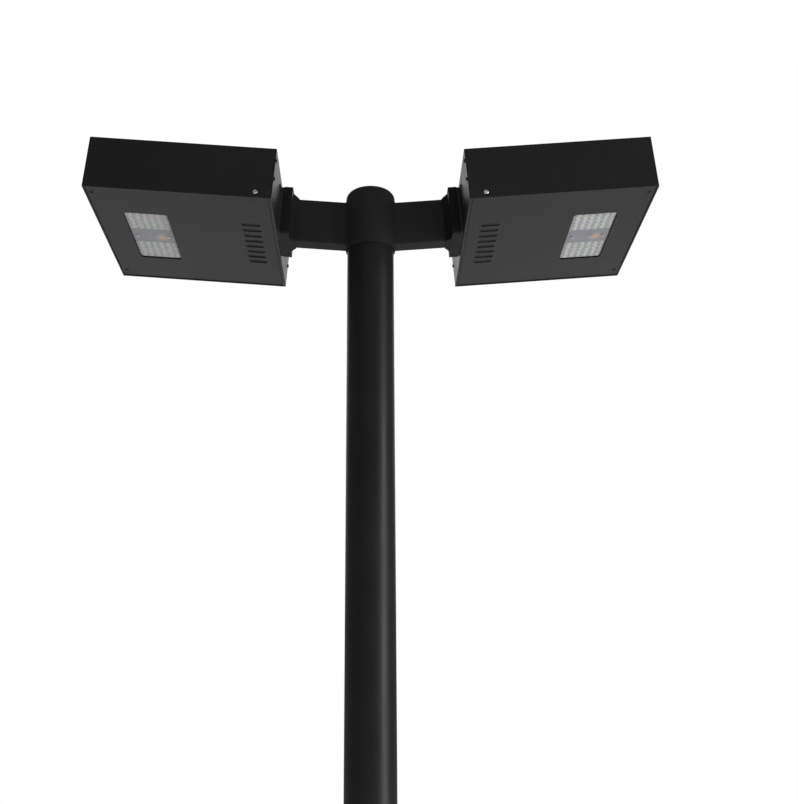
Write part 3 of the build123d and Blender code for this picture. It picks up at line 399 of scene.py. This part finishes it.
def shrink_wrap(name, colour):
    """Heat-shrunk film: glossy, with fine tension wrinkles along the cell."""
    f = Finish(name)
    wrinkles = f.noise(1.0, 4.0, f.stretched((60.0, 420.0, 420.0)))
    return f.surface({
        "Base Color": f.blend(f.noise(30.0, 3.0), colour, rgb(0.06, 0.24, 0.52)),
        "Roughness": f.span(wrinkles, 0.3, 0.7, 0.22, 0.34),
        "Coat Weight": 0.3,
        "Normal": f.bump(wrinkles, 0.00005, f.rounded(0.0005)),
    })


def filter_mesh(name):
    """Fine woven filter: round threads both ways, with painted shade in the gaps between them."""
    f = Finish(name)
    place = f.split(f.place)
    waves = [f.math("SINE", f.math("MULTIPLY", place[axis], 2400.0)) for axis in "XY"]
    threads = f.math("MAXIMUM", *[f.math("ABSOLUTE", wave) for wave in waves])
    raised = f.span(threads, 0.55, 0.95, 0.0, 1.0)
    fluff = f.span(f.noise(600.0, 3.0), 0.55, 0.75, 0.0, 0.4)
    # near-black painted shade in the gaps, lighter threads over them
    base = f.blend(raised, rgb(0.008, 0.008, 0.008), rgb(0.034, 0.034, 0.035))
    return f.surface({
        "Base Color": f.blend(fluff, base, rgb(0.03, 0.029, 0.027)),
        "Roughness": 0.85,
        "Specular IOR Level": 0.3,
        "Normal": f.bump(threads, 0.0002),
    })


def weld_metal(name, colour):
    """Painted weld: powder coat over the ripples, with a few pin holes."""
    f = Finish(name)
    pits = f.span(f.cells(420.0)["Distance"], 0.0, 0.25, 0.0, 0.5)
    grain = f.noise(900.0, 3.0)
    return f.surface({
        "Base Color": f.blend(grain, colour, rgb(0.022, 0.022, 0.023)),
        "Roughness": f.span(grain, 0.3, 0.7, 0.45, 0.6),
        "Specular IOR Level": 0.16,
        "Normal": f.bump(f.math("ADD", f.math("MULTIPLY", grain, 0.5), pits), 0.00012),
    })


HEAD_PAINT = {
    "colour": rgb(0.0088, 0.0088, 0.0091),
    "lighter": rgb(0.0122, 0.0122, 0.0126),
    "roughness": 0.44,
    "easing": 0.0009,
}
EVEN_GRAIN = (900.0, 900.0, 900.0)
LOOSE_GRAIN = (300.0, 300.0, 300.0)
DRAWN_LENGTHWISE = (35.0, 1800.0, 1800.0)
ROLLED_LENGTHWISE = (60.0, 2400.0, 2400.0)

finishes = {
    "black_powder_coat": powder_coat(
        "black_powder_coat_look", rgb(0.0075, 0.0075, 0.008), rgb(0.0108, 0.0108, 0.0113),
        roughness=0.4, easing=0.0010),
    # matte bracket coat whose colour is lighter than the pole's: painted light on the sleeve, cap
    # and arms
    "bracket_powder_coat": powder_coat(
        "bracket_powder_coat_look", rgb(0.0178, 0.0178, 0.0188), rgb(0.0212, 0.0212, 0.0222),
        roughness=0.5, easing=0.0010, specular=0.1),
    "flange_powder_coat": powder_coat(
        "flange_powder_coat_look", rgb(0.0085, 0.0085, 0.009), rgb(0.0115, 0.0115, 0.012),
        roughness=0.5, easing=0.0010, specular=0.12),
    "head_powder_coat": powder_coat("head_powder_coat_look", **HEAD_PAINT),
    "door_powder_coat": powder_coat("door_powder_coat_look", **HEAD_PAINT, dust=0.04),
    "black_anodised": anodised("black_anodised_look", rgb(0.007, 0.007, 0.0075), 0.38),
    "filter_mat": filter_mesh("filter_mat_look"),
    "stainless_screws": metal(
        "stainless_screws_look", rgb(0.7, 0.7, 0.69), 0.24, EVEN_GRAIN, 0.00002),
    "black_oxide_screws": anodised("black_oxide_screws_look", rgb(0.012, 0.012, 0.013), 0.4),
    "zinc_plated_steel": metal(
        "zinc_plated_steel_look", rgb(0.6, 0.61, 0.62), 0.34, LOOSE_GRAIN, 0.00002,
        crystals=0.35),
    "black_rubber": moulded("black_rubber_look", rgb(0.014, 0.014, 0.015), 0.72, 1400.0, 0.00005),
    "backing_sheet": moulded("backing_sheet_look", rgb(0.016, 0.017, 0.02), 0.5, 800.0, 0.00003),
    "black_plastic": moulded("black_plastic_look", rgb(0.018, 0.018, 0.019), 0.5, 1500.0, 0.00004),
    "bare_aluminium": metal(
        "bare_aluminium_look", rgb(0.66, 0.67, 0.68), 0.36, DRAWN_LENGTHWISE, 0.00003),
    "cell_wrap": shrink_wrap("cell_wrap_look", rgb(0.02, 0.1, 0.32)),
    "red_button": moulded(
        "red_button_look", rgb(0.5, 0.018, 0.012), 0.34, 1200.0, 0.00002,
        subsurface=0.05, coat=0.3),
    "lead_sheath": moulded("lead_sheath_look", rgb(0.016, 0.016, 0.017), 0.5, 900.0, 0.00004),
    "solar_glass": panel_glass("solar_glass_look"),
}

# slots whose pattern is laid out in the head frame, so that each side has its own
by_side = {
    "silicon_cells": silicon,
    "clear_lens": lens_plastic,
    "grey_plastic": clamp_plastic,
    "white_board": circuit,
    "led_phosphor": phosphor,
}
for side_name, side in SIDES.items():
    for slot_name, build in by_side.items():
        finishes[f"{side_name}_{slot_name}"] = build(f"{side_name}_{slot_name}_look", side)

# nodes whose paint differs from that of the others with the same slot; the bracket's coat is matte,
# and lighter as painted light
by_node = {
    "sleeve": "bracket_powder_coat",
    "sleeve_cap": "bracket_powder_coat",
    "left_arm": "bracket_powder_coat",
    "right_arm": "bracket_powder_coat",
    "left_arm_flange": "flange_powder_coat",
    "right_arm_flange": "flange_powder_coat",
    "left_door": "door_powder_coat",
    "right_door": "door_powder_coat",
}

for node_name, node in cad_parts.items():
    for holder in node.material_slots:
        look = holder.material.name.split(".")[0]
        if look in by_side:
            look = f"{node_name.split('_')[0]}_{look}"
        holder.material = finishes[by_node.get(node_name, look)]

ribbon_metal = metal("ribbon_look", rgb(0.74, 0.75, 0.76), 0.3, ROLLED_LENGTHWISE, 0.00001)
sealant = moulded("sealant_look", rgb(0.012, 0.012, 0.013), 0.42, 260.0, 0.00006)
block_plastic = moulded("block_plastic_look", rgb(0.03, 0.032, 0.034), 0.42, 1700.0, 0.00003)
weld_look = weld_metal("weld_look", rgb(0.011, 0.011, 0.0115))

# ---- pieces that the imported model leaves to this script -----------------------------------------


def mesh_piece(name, points, faces, body, material, smooth=True):
    mesh = bpy.data.meshes.new(name)
    mesh.from_pydata([tuple(p) for p in points], [], faces)
    shell = bmesh.new()
    shell.from_mesh(mesh)
    bmesh.ops.recalc_face_normals(shell, faces=shell.faces)
    shell.to_mesh(mesh)
    shell.free()
    mesh.polygons.foreach_set("use_smooth", [smooth] * len(mesh.polygons))
    mesh.materials.append(material)
    piece = bpy.data.objects.new(name, mesh)
    bpy.context.scene.collection.objects.link(piece)
    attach(piece, body)
    return piece


def bands(first, size, count):
    """Quads between each ring of size points, counted from first, and the ring after it."""
    for ring in range(count):
        for k in range(size):
            a, b = first + ring * size + k, first + ring * size + (k + 1) % size
            yield (a, b, b + size, a + size)


def loop_bead(path, outwards, up, section):
    """Closed bead: section(i) gives the (out, up) outline at point i of a closed path."""
    points, faces = [], []
    count, size = len(path), len(section(0))
    for i, point in enumerate(path):
        points += [point + outwards[i] * out + up[i] * rise for out, rise in section(i)]
    for i in range(count):
        for j in range(size):
            a, b = i * size + j, i * size + (j + 1) % size
            c, d = (i + 1) % count * size + (j + 1) % size, (i + 1) % count * size + j
            faces.append((a, b, c, d))
    return points, faces


def rounded_corners(centres, radius, steps):
    """Points and outward directions round four corners, anticlockwise from the + + one."""
    ring = []
    for quarter, (x, y) in enumerate(centres):
        for k in range(steps + 1):
            angle = pi / 2 * (quarter + k / steps)
            point = Vector((x + radius * cos(angle), y + radius * sin(angle)))
            ring.append((point, Vector((cos(angle), sin(angle)))))
    return ring


WELD_TROUGH = 0.86
WELD_CREST = 0.14
WELD_WANDER = 0.07
WELD_ROOT = 0.0006
WELD_STEPS = 7


def ripple(i, per_ripple, leg, seed):
    """Fillet outline of a weld whose crescents overlap, a little uneven."""
    phase = (i % per_ripple) / per_ripple
    swell = WELD_TROUGH + WELD_CREST * sin(pi * phase) ** 0.6
    wander = 1.0 + WELD_WANDER * noise.noise(Vector((i * 0.13, seed, 0.0)))
    reach = leg * swell * wander
    outline = [(-WELD_ROOT, -WELD_ROOT)]
    for k in range(WELD_STEPS + 1):
        angle = pi / 2 * k / WELD_STEPS
        bulge = 0.80 + 0.06 * sin(2 * angle)
        out = sin(angle) * bulge + (1 - bulge) * (1 - cos(angle))
        rise = cos(angle) * bulge + (1 - bulge) * (1 - sin(angle))
        outline.append((reach * out, reach * rise))
    return outline


def arm_outline(count):
    """Evenly spaced points and outward directions round the arm's section, in a head's y and z."""
    half_y, half_z = ARM_HALF_WIDTH - ARM_CORNER, ARM_HALF_HEIGHT - ARM_CORNER
    signs = ((1, 1), (-1, 1), (-1, -1), (1, -1))
    centres = [(sy * half_y, ARM_MIDDLE_Z + sz * half_z) for sy, sz in signs]
    runs = rounded_corners(centres, ARM_CORNER, 6)
    lengths = [0.0]
    for (p, _), (q, _) in zip(runs, runs[1:] + runs[:1]):
        lengths.append(lengths[-1] + (q - p).length)
    result, k = [], 0
    for i in range(count):
        at = lengths[-1] * i / count
        while lengths[k + 1] < at:
            k += 1
        share = (at - lengths[k]) / (lengths[k + 1] - lengths[k])
        (p, a), (q, b) = runs[k], runs[(k + 1) % len(runs)]
        result.append((p.lerp(q, share), a.lerp(b, share).normalized()))
    return result


ARM_WELD_POINTS = 420
ARM_WELD_PER_RIPPLE = 7
ARM_WELD_LEG = 0.0036


def arm_weld(side_name, side):
    """Rippled weld where an arm's cut end meets the round sleeve."""
    place = head_matrix(side)
    turn = place.to_3x3()
    away = turn @ Vector((1, 0, 0))
    path, outwards, up = [], [], []
    for point, normal in arm_outline(ARM_WELD_POINTS):
        start = place @ Vector((0, point.x, point.y))
        # the line along the arm through this point leaves the sleeve at hit
        a = away.x ** 2 + away.y ** 2
        b = start.x * away.x + start.y * away.y
        c = start.x ** 2 + start.y ** 2 - SLEEVE_RADIUS ** 2
        hit = start + away * ((-b + sqrt(b * b - a * c)) / a)
        radial = Vector((hit.x, hit.y, 0)).normalized()
        rise = turn @ Vector((0, normal.x, normal.y))
        path.append(hit)
        outwards.append(away)
        up.append((rise - radial * rise.dot(radial)).normalized())

    def section(i):
        return ripple(i, ARM_WELD_PER_RIPPLE, ARM_WELD_LEG, 11.0 + side)

    points, faces = loop_bead(path, outwards, up, section)
    name = f"{side_name}_arm_weld"
    mesh_piece(name, points, faces, "bracket", weld_look)


SEALANT_CORNER = 0.004
SEALANT_STEP = 0.004
SEALANT_REACH = 0.0030
SEALANT_ROOT = (-0.0004, -0.0002)


def sealant_bead(side_name, side):
    """Hand-tooled sealant in the corner between the glass and the panel frame."""
    place = head_matrix(side)
    turn = place.to_3x3()
    inner, outer = OPENING_INNER_X + SEALANT_CORNER, OPENING_OUTER_X - SEALANT_CORNER
    across = OPENING_HALF_WIDTH - SEALANT_CORNER
    centres = ((outer, across), (inner, across), (inner, -across), (outer, -across))
    flat = rounded_corners(centres, SEALANT_CORNER, 8)
    path, outwards, up = [], [], []
    for (p, a), (q, b) in zip(flat, flat[1:] + flat[:1]):
        steps = max(1, int((q - p).length / SEALANT_STEP))
        for k in range(steps):
            spot = p.lerp(q, k / steps)
            facing = a.lerp(b, k / steps).normalized()
            path.append(place @ Vector((spot.x, spot.y, GLASS_TOP)))
            outwards.append(turn @ Vector((-facing.x, -facing.y, 0)))
            up.append(turn @ Vector((0, 0, 1)))

    def tooled(i):
        reach = SEALANT_REACH * (1.0 + 0.16 * noise.noise(Vector((i * 0.05, side, 4.0))))
        shares = [k / 6 for k in range(7)]
        hollow = [(reach * (1 - s) ** 1.6, reach * 0.95 * s ** 1.6) for s in shares]
        return [SEALANT_ROOT] + hollow

    points, faces = loop_bead(path, outwards, up, tooled)
    name = f"{side_name}_glass_sealant"
    mesh_piece(name, points, faces, "bracket", sealant)


def ribbon_strip(place, x, y, length_x, length_y, thick):
    """Eight corners and six faces of one thin solder ribbon, its edges drawn in at the top."""
    inset = min(length_x, length_y) * 0.12
    corners = []
    for level, pull in ((0.0, 0.0), (thick, inset)):
        half_x, half_y = length_x / 2 - pull, length_y / 2 - pull
        for sx, sy in ((-1, -1), (1, -1), (1, 1), (-1, 1)):
            corners.append(place @ Vector((x + sx * half_x, y + sy * half_y, CELLS_TOP + level)))
    faces = [(3, 2, 1, 0), (4, 5, 6, 7), (0, 1, 5, 4), (1, 2, 6, 5), (2, 3, 7, 6), (3, 0, 4, 7)]
    return corners, faces


RIBBON_SHIFT = 0.0155
RIBBON_WIDTH = 0.0013
RIBBON_THICKNESS = 0.00012
RIBBON_EXTRA_LENGTH = 0.003
BUS_WIDTH = 0.0032
BUS_THICKNESS = 0.00016
BUS_PAST_CELLS = 0.0018
BUS_EXTRA_LENGTH = 0.034


def cell_ribbons(side_name, side):
    """Two silver ribbons over every string of cells, joined by a wider bus at each end."""
    place = head_matrix(side)
    points, faces = [], []

    def lay(*sizes):
        corners, sheet = ribbon_strip(place, *sizes)
        offset = len(points)
        points.extend(corners)
        faces.extend(tuple(offset + i for i in face) for face in sheet)

    length = 6 * CELL_PITCH_X + RIBBON_EXTRA_LENGTH
    for row in range(6):
        middle = (row - 2.5) * CELL_PITCH_Y
        for shift in (-RIBBON_SHIFT, RIBBON_SHIFT):
            lay(CELLS_X, middle + shift, length, RIBBON_WIDTH, RIBBON_THICKNESS)
    for end, rows in ((-1, ((0, 1), (2, 3), (4, 5))), (1, ((1, 2), (3, 4)))):
        x = CELLS_X + end * (3 * CELL_PITCH_X + BUS_PAST_CELLS)
        for first, last in rows:
            y = ((first + last) / 2 - 2.5) * CELL_PITCH_Y
            length = (last - first) * CELL_PITCH_Y + BUS_EXTRA_LENGTH
            lay(x, y, BUS_WIDTH, length, BUS_THICKNESS)
    name = f"{side_name}_cell_ribbons"
    mesh_piece(name, points, faces, "bracket", ribbon_metal, smooth=False)


def lathe(points, faces, middle, along, profile, around=28, closed=True):
    """Add a turned shape: profile lists (distance along, radius) from one end to the other."""
    side = along.orthogonal().normalized()
    other = along.cross(side)
    first = len(points)
    for reach, radius in profile:
        for k in range(around):
            angle = 2 * pi * k / around
            rim = (side * cos(angle) + other * sin(angle)) * radius
            points.append(middle + along * reach + rim)
    faces.extend(bands(first, around, len(profile) - 1))
    faces.append(tuple(reversed(range(first, first + around))))
    if closed:
        faces.append(tuple(range(len(points) - around, len(points))))


# both ends of the three leads in a head: place, and direction out of the piece that it enters
LEAD_ENDS = (
    ((0.1385, 0.083, 0.054), (1, 0, 0)),
    ((0.168, 0.055, 0.083), (0, 1, 0)),
    ((0.2255, 0.020, 0.0145), (-1, 0, 0)),
    ((0.188, 0.020, 0.068), (0, 0, -1)),
    ((0.300, 0.148, 0.088), (-1, 0, 0)),
    ((0.195, 0.055, 0.083), (0, 1, 0)),
)
# (distance along, radius) as in lathe
BUSH_FLANGE = [(-0.0004, 0.0021), (-0.0004, 0.0046), (0.0016, 0.0048), (0.0022, 0.0042)]
BUSH_MOUTH = [(0.0094, 0.0026), (0.0096, 0.0021)]
BUSH_RIBS = 3
BUSH_RIBS_START = 0.0026
BUSH_RIB_PITCH = 0.0022
BUSH_RIB_RADIUS = 0.0041
BUSH_TAPER = 0.0004
BUSH_GROOVE = 0.0006


def lead_bushes(side_name, side):
    """Ribbed rubber bushes where the three leads leave the battery, light engine and boxes."""
    place = head_matrix(side)
    turn = place.to_3x3()
    profile = list(BUSH_FLANGE)
    for rib in range(BUSH_RIBS):
        base = BUSH_RIBS_START + rib * BUSH_RIB_PITCH
        outer = BUSH_RIB_RADIUS - rib * BUSH_TAPER
        inner = outer - BUSH_GROOVE
        profile += [(base, inner), (base + 0.0004, outer)]
        profile += [(base + 0.0011, outer), (base + 0.0015, inner)]
    profile += BUSH_MOUTH
    points, faces = [], []
    for middle, along in LEAD_ENDS:
        lathe(points, faces, place @ Vector(middle), turn @ Vector(along), profile)
    name = f"{side_name}_lead_bushes"
    mesh_piece(name, points, faces, "bracket", sealant)


def box_faces(points, faces, place, low, high, ease):
    """Add a box with every edge cut back by ease."""
    first = len(points)
    levels = ((low[2], ease), (low[2] + ease, 0.0), (high[2] - ease, 0.0), (high[2], ease))
    for z, pull in levels:
        x0, x1, y0, y1 = low[0] + pull, high[0] - pull, low[1] + pull, high[1] - pull
        for x, y in (
            (x0 + ease, y0), (x1 - ease, y0), (x1, y0 + ease), (x1, y1 - ease),
            (x1 - ease, y1), (x0 + ease, y1), (x0, y1 - ease), (x0, y0 + ease),
        ):
            points.append(place @ Vector((x, y, z)))
    faces.extend(bands(first, 8, 3))
    faces.append(tuple(reversed(range(first, first + 8))))
    faces.append(tuple(range(first + 24, first + 32)))


TERMINALS = 8
TERMINAL_PITCH = 0.0095
TERMINAL_BLOCK_DEPTH = 0.0052
TERMINAL_SCREW = [
    (0.0003, 0.0030), (0.0012, 0.0030), (0.0017, 0.0027),
    (0.0019, 0.0022), (0.0014, 0.0012), (0.0011, 0.0006),
]


def terminal_block(side_name, side):
    """Screw terminals on the controller's underside: a moulded bar with barriers across it."""
    place = head_matrix(side)
    base = CONTROLLER_UNDERSIDE
    start = -TERMINALS * TERMINAL_PITCH / 2
    points, faces = [], []
    low = (0.1975, start - 0.001, base - TERMINAL_BLOCK_DEPTH)
    high = (0.2070, -start + 0.001, base)
    box_faces(points, faces, place, low, high, 0.0005)
    for k in range(TERMINALS + 1):
        y = start + k * TERMINAL_PITCH
        low = (0.1970, y - 0.0007, base - 0.0086)
        high = (0.2075, y + 0.0007, base - 0.0050)
        box_faces(points, faces, place, low, high, 0.0003)
    name = f"{side_name}_terminal_block"
    mesh_piece(name, points, faces, "bracket", block_plastic, smooth=False)


def terminal_screws(side_name, side):
    """Clamping screw and wire plate in each terminal."""
    place = head_matrix(side)
    down = place.to_3x3() @ Vector((0, 0, -1))
    base = CONTROLLER_UNDERSIDE - TERMINAL_BLOCK_DEPTH
    points, faces = [], []
    for k in range(TERMINALS):
        y = (k + 0.5 - TERMINALS / 2) * TERMINAL_PITCH
        low = (0.1985, y - 0.0036, base - 0.0007)
        high = (0.2060, y + 0.0036, base + 0.0002)
        box_faces(points, faces, place, low, high, 0.0002)
        lathe(points, faces, place @ Vector((0.2022, y, base)), down, TERMINAL_SCREW, 20)
    name = f"{side_name}_terminal_screws"
    mesh_piece(name, points, faces, "bracket", ribbon_metal, smooth=False)


SCREW_RADIUS = 0.0050
SCREW_DOME = 0.0026
SCREW_RINGS = 16
SCREW_AROUND = 64
SCREW_TURN = 0.5
SCREW_BODY = [
    (-0.0065, 0.0022), (-0.0061, 0.0029), (-0.0058, 0.0030), (0.0, 0.0030),
    (0.0, 0.0047), (0.0003, 0.0050), (0.00098, 0.0050),
]
RECESS_HALF_WIDTH = 0.00062
RECESS_FLARE = 0.00025
RECESS_REACH = 0.0026
RECESS_WALL = 0.0003
RECESS_DEPTH = 0.0015
RECESS_SLOPE = 0.0028


def crossed_dome():
    """Rings of a pan head from the middle out: a low dome with a cross-shaped driver recess."""
    rows = []
    for ring in range(SCREW_RINGS + 1):
        reach = SCREW_RADIUS * ring / SCREW_RINGS
        row = []
        for k in range(SCREW_AROUND):
            angle = 2 * pi * k / SCREW_AROUND
            x, y = reach * cos(angle), reach * sin(angle)
            dome = SCREW_DOME * (1.0 - 0.62 * (reach / SCREW_RADIUS) ** 2.6)
            flare = RECESS_FLARE * (1 - reach / SCREW_RADIUS)
            arm = min(abs(x), abs(y)) - RECESS_HALF_WIDTH - flare
            wall = max(arm, max(abs(x), abs(y)) - RECESS_REACH)
            share = min(1.0, max(0.0, 0.5 - wall / RECESS_WALL))
            sunk = share * RECESS_DEPTH * (1.0 - 0.5 * min(1.0, reach / RECESS_SLOPE))
            row.append((x, y, dome - sunk))
        rows.append(row)
    return rows


def pivot_screws():
    """Bright domed screws that the doors turn on, in place of the plain ones."""
    points, faces = [], []
    for side in SIDES.values():
        place = head_matrix(side)
        turn = place.to_3x3()
        for across in (-1, 1):
            middle = place @ Vector((PIVOT_X, across * PIVOT_Y, PIVOT_Z))
            out = turn @ Vector((0, across, 0))
            right = turn @ Vector((cos(SCREW_TURN), 0, sin(SCREW_TURN)))
            high = out.cross(right)
            lathe(points, faces, middle, out, SCREW_BODY, SCREW_AROUND, closed=False)
            first = len(points)
            for row in crossed_dome()[1:]:
                points.extend(middle + right * x + high * y + out * z for x, y, z in row)
            faces.extend(bands(first, SCREW_AROUND, SCREW_RINGS - 1))
            faces.append(tuple(range(first, first + SCREW_AROUND)))
    look = finishes["stainless_screws"]
    piece = mesh_piece("pivot_screw_heads", points, faces, "bracket", look)
    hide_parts("pivot_screws")


BASE_WELD_POINTS = 720
BASE_WELD_PER_RIPPLE = 10
BASE_WELD_LEG = 0.0125


def base_weld():
    """Rippled weld where the tube meets the base plate, laid over the plain collar."""
    path, outwards, up = [], [], []
    for i in range(BASE_WELD_POINTS):
        angle = 2 * pi * i / BASE_WELD_POINTS
        outwards.append(Vector((cos(angle), sin(angle), 0)))
        path.append(outwards[-1] * TUBE_RADIUS + Vector((0, 0, PLATE_TOP)))
        up.append(Vector((0, 0, 1)))

    def section(i):
        return ripple(i, BASE_WELD_PER_RIPPLE, BASE_WELD_LEG, 3.0)

    points, faces = loop_bead(path, outwards, up, section)
    mesh_piece("base_weld", points, faces, "pole", weld_look)


base_weld()
pivot_screws()
for side_name, side in SIDES.items():
    arm_weld(side_name, side)
    sealant_bead(side_name, side)
    cell_ribbons(side_name, side)
    lead_bushes(side_name, side)
    terminal_block(side_name, side)
    terminal_screws(side_name, side)

# ---- floor, light and camera --------------------------------------------------------------------

FLOOR_HALF = 60.0


def floor_material():
    f = Finish("floor_look")
    fine = f.noise(60.0, 4.0)
    return f.surface({
        "Base Color": f.blend(f.noise(0.6, 5.0), rgb(0.86, 0.86, 0.855), rgb(0.9, 0.9, 0.895)),
        "Roughness": f.span(fine, 0.3, 0.7, 0.75, 0.9),
        "Normal": f.bump(fine, 0.0003),
    })


def make_floor(half):
    mesh = bpy.data.meshes.new("floor")
    corners = [(-half, -half, 0), (half, -half, 0), (half, half, 0), (-half, half, 0)]
    mesh.from_pydata(corners, [], [(0, 1, 2, 3)])
    mesh.materials.append(floor_material())
    floor_object = bpy.data.objects.new("floor", mesh)
    bpy.context.scene.collection.objects.link(floor_object)
    return floor_object


def make_world(front, rear):
    """White to the camera. To the lamp, dim all round and bright high behind, as a backdrop is."""
    world = bpy.data.worlds.new("studio")
    bpy.context.scene.world = world
    world.use_nodes = True
    tree = world.node_tree
    tree.nodes.clear()
    place = add_node(tree, "ShaderNodeTexCoord").outputs["Generated"]
    parts = add_node(tree, "ShaderNodeSeparateXYZ", {0: place}).outputs

    def fade(axis, low, high, end):
        inputs = {"Value": parts[axis], "From Min": low, "From Max": high, "To Max": end}
        settings = {"interpolation_type": "SMOOTHSTEP"}
        return add_node(tree, "ShaderNodeMapRange", inputs, **settings).outputs[0]

    def combine(operation, first, second):
        inputs = {0: first, 1: second}
        return add_node(tree, "ShaderNodeMath", inputs, operation=operation).outputs[0]

    behind = fade("Y", 0.68, 0.88, rear - front)
    above = fade("Z", 0.12, 0.36, 1.0)
    strength = combine("ADD", combine("MULTIPLY", behind, above), front)
    white = {"Color": rgb(1.0, 1.0, 1.0)}
    seen = add_node(tree, "ShaderNodeBackground", white).outputs[0]
    light = add_node(tree, "ShaderNodeBackground", {**white, "Strength": strength}).outputs[0]
    to_camera = add_node(tree, "ShaderNodeLightPath").outputs["Is Camera Ray"]
    mix = add_node(tree, "ShaderNodeMixShader", {0: to_camera, 1: light, 2: seen}).outputs[0]
    add_node(tree, "ShaderNodeOutputWorld", {"Surface": mix})


def soft_sun(strength, spread):
    """Even light straight down, as from a very large ceiling."""
    lamp = bpy.data.lights.new("ceiling", "SUN")
    lamp.energy = strength
    lamp.angle = spread
    holder = bpy.data.objects.new("ceiling", lamp)
    holder.visible_glossy = False
    bpy.context.scene.collection.objects.link(holder)


def soft_light(name, place, aim, size, power):
    """Rectangular lamp that the camera doesn't see."""
    lamp = bpy.data.lights.new(name, "AREA")
    lamp.shape = "RECTANGLE"
    lamp.size, lamp.size_y = size
    lamp.energy = power
    holder = bpy.data.objects.new(name, lamp)
    holder.location = place
    holder.rotation_euler = (Vector(aim) - Vector(place)).to_track_quat("-Z", "Y").to_euler()
    holder.visible_camera = False
    bpy.context.scene.collection.objects.link(holder)
    return holder


def floor_wash(name, place, aim, size, power):
    """Lamp that whitens the floor and isn't mirrored in the paint."""
    holder = soft_light(name, place, aim, size, power)
    holder.visible_glossy = False
    holder.data.spread = radians(120)


floor_object = make_floor(FLOOR_HALF)
make_world(front=0.16, rear=1.65)
soft_sun(0.62, radians(70))
for side in (-1, 1):
    floor_wash("floor_wash", (side * 4.6, 9.5, 5.5), (side * 4.6, 9.5, 0), (3.0, 3.0), 160.0)
floor_wash("front_wash", (0, -5.5, 6.0), (0, -5.0, 0), (6.0, 5.0), 120.0)

# the strip lights the lamp but not the floor, where it would leave a bright pool
strip = soft_light("right_strip", (2.6, -1.3, 1.7), (0, 0, 1.9), (0.5, 4.0), 72.0)
unlit = bpy.data.collections.new("strip_leaves_out")
unlit.objects.link(floor_object)
unlit.collection_objects[0].light_linking.link_state = "EXCLUDE"
strip.light_linking.receiver_collection = unlit

# the camera looks up at the heads from in front, as in the photograph
IMAGE_HEIGHT = 804
CAMERA_BACK = 2.341
CAMERA_BELOW_CAP = 1.281
CAMERA_TILT = 18.86

camera_data = bpy.data.cameras.new("camera")
camera_data.sensor_width = 36.0
camera_data.lens = 52.7
camera_data.shift_x = 28.5 / IMAGE_HEIGHT
camera_data.shift_y = -3.0 / IMAGE_HEIGHT
camera = bpy.data.objects.new("camera", camera_data)
camera.location = (0.0, -CAMERA_BACK, cap_high.z - CAMERA_BELOW_CAP)
camera.rotation_euler = (radians(90.0 + CAMERA_TILT), 0.0, 0.0)
bpy.context.scene.collection.objects.link(camera)
bpy.context.scene.camera = camera
bpy.context.scene.view_settings.view_transform = "Standard"
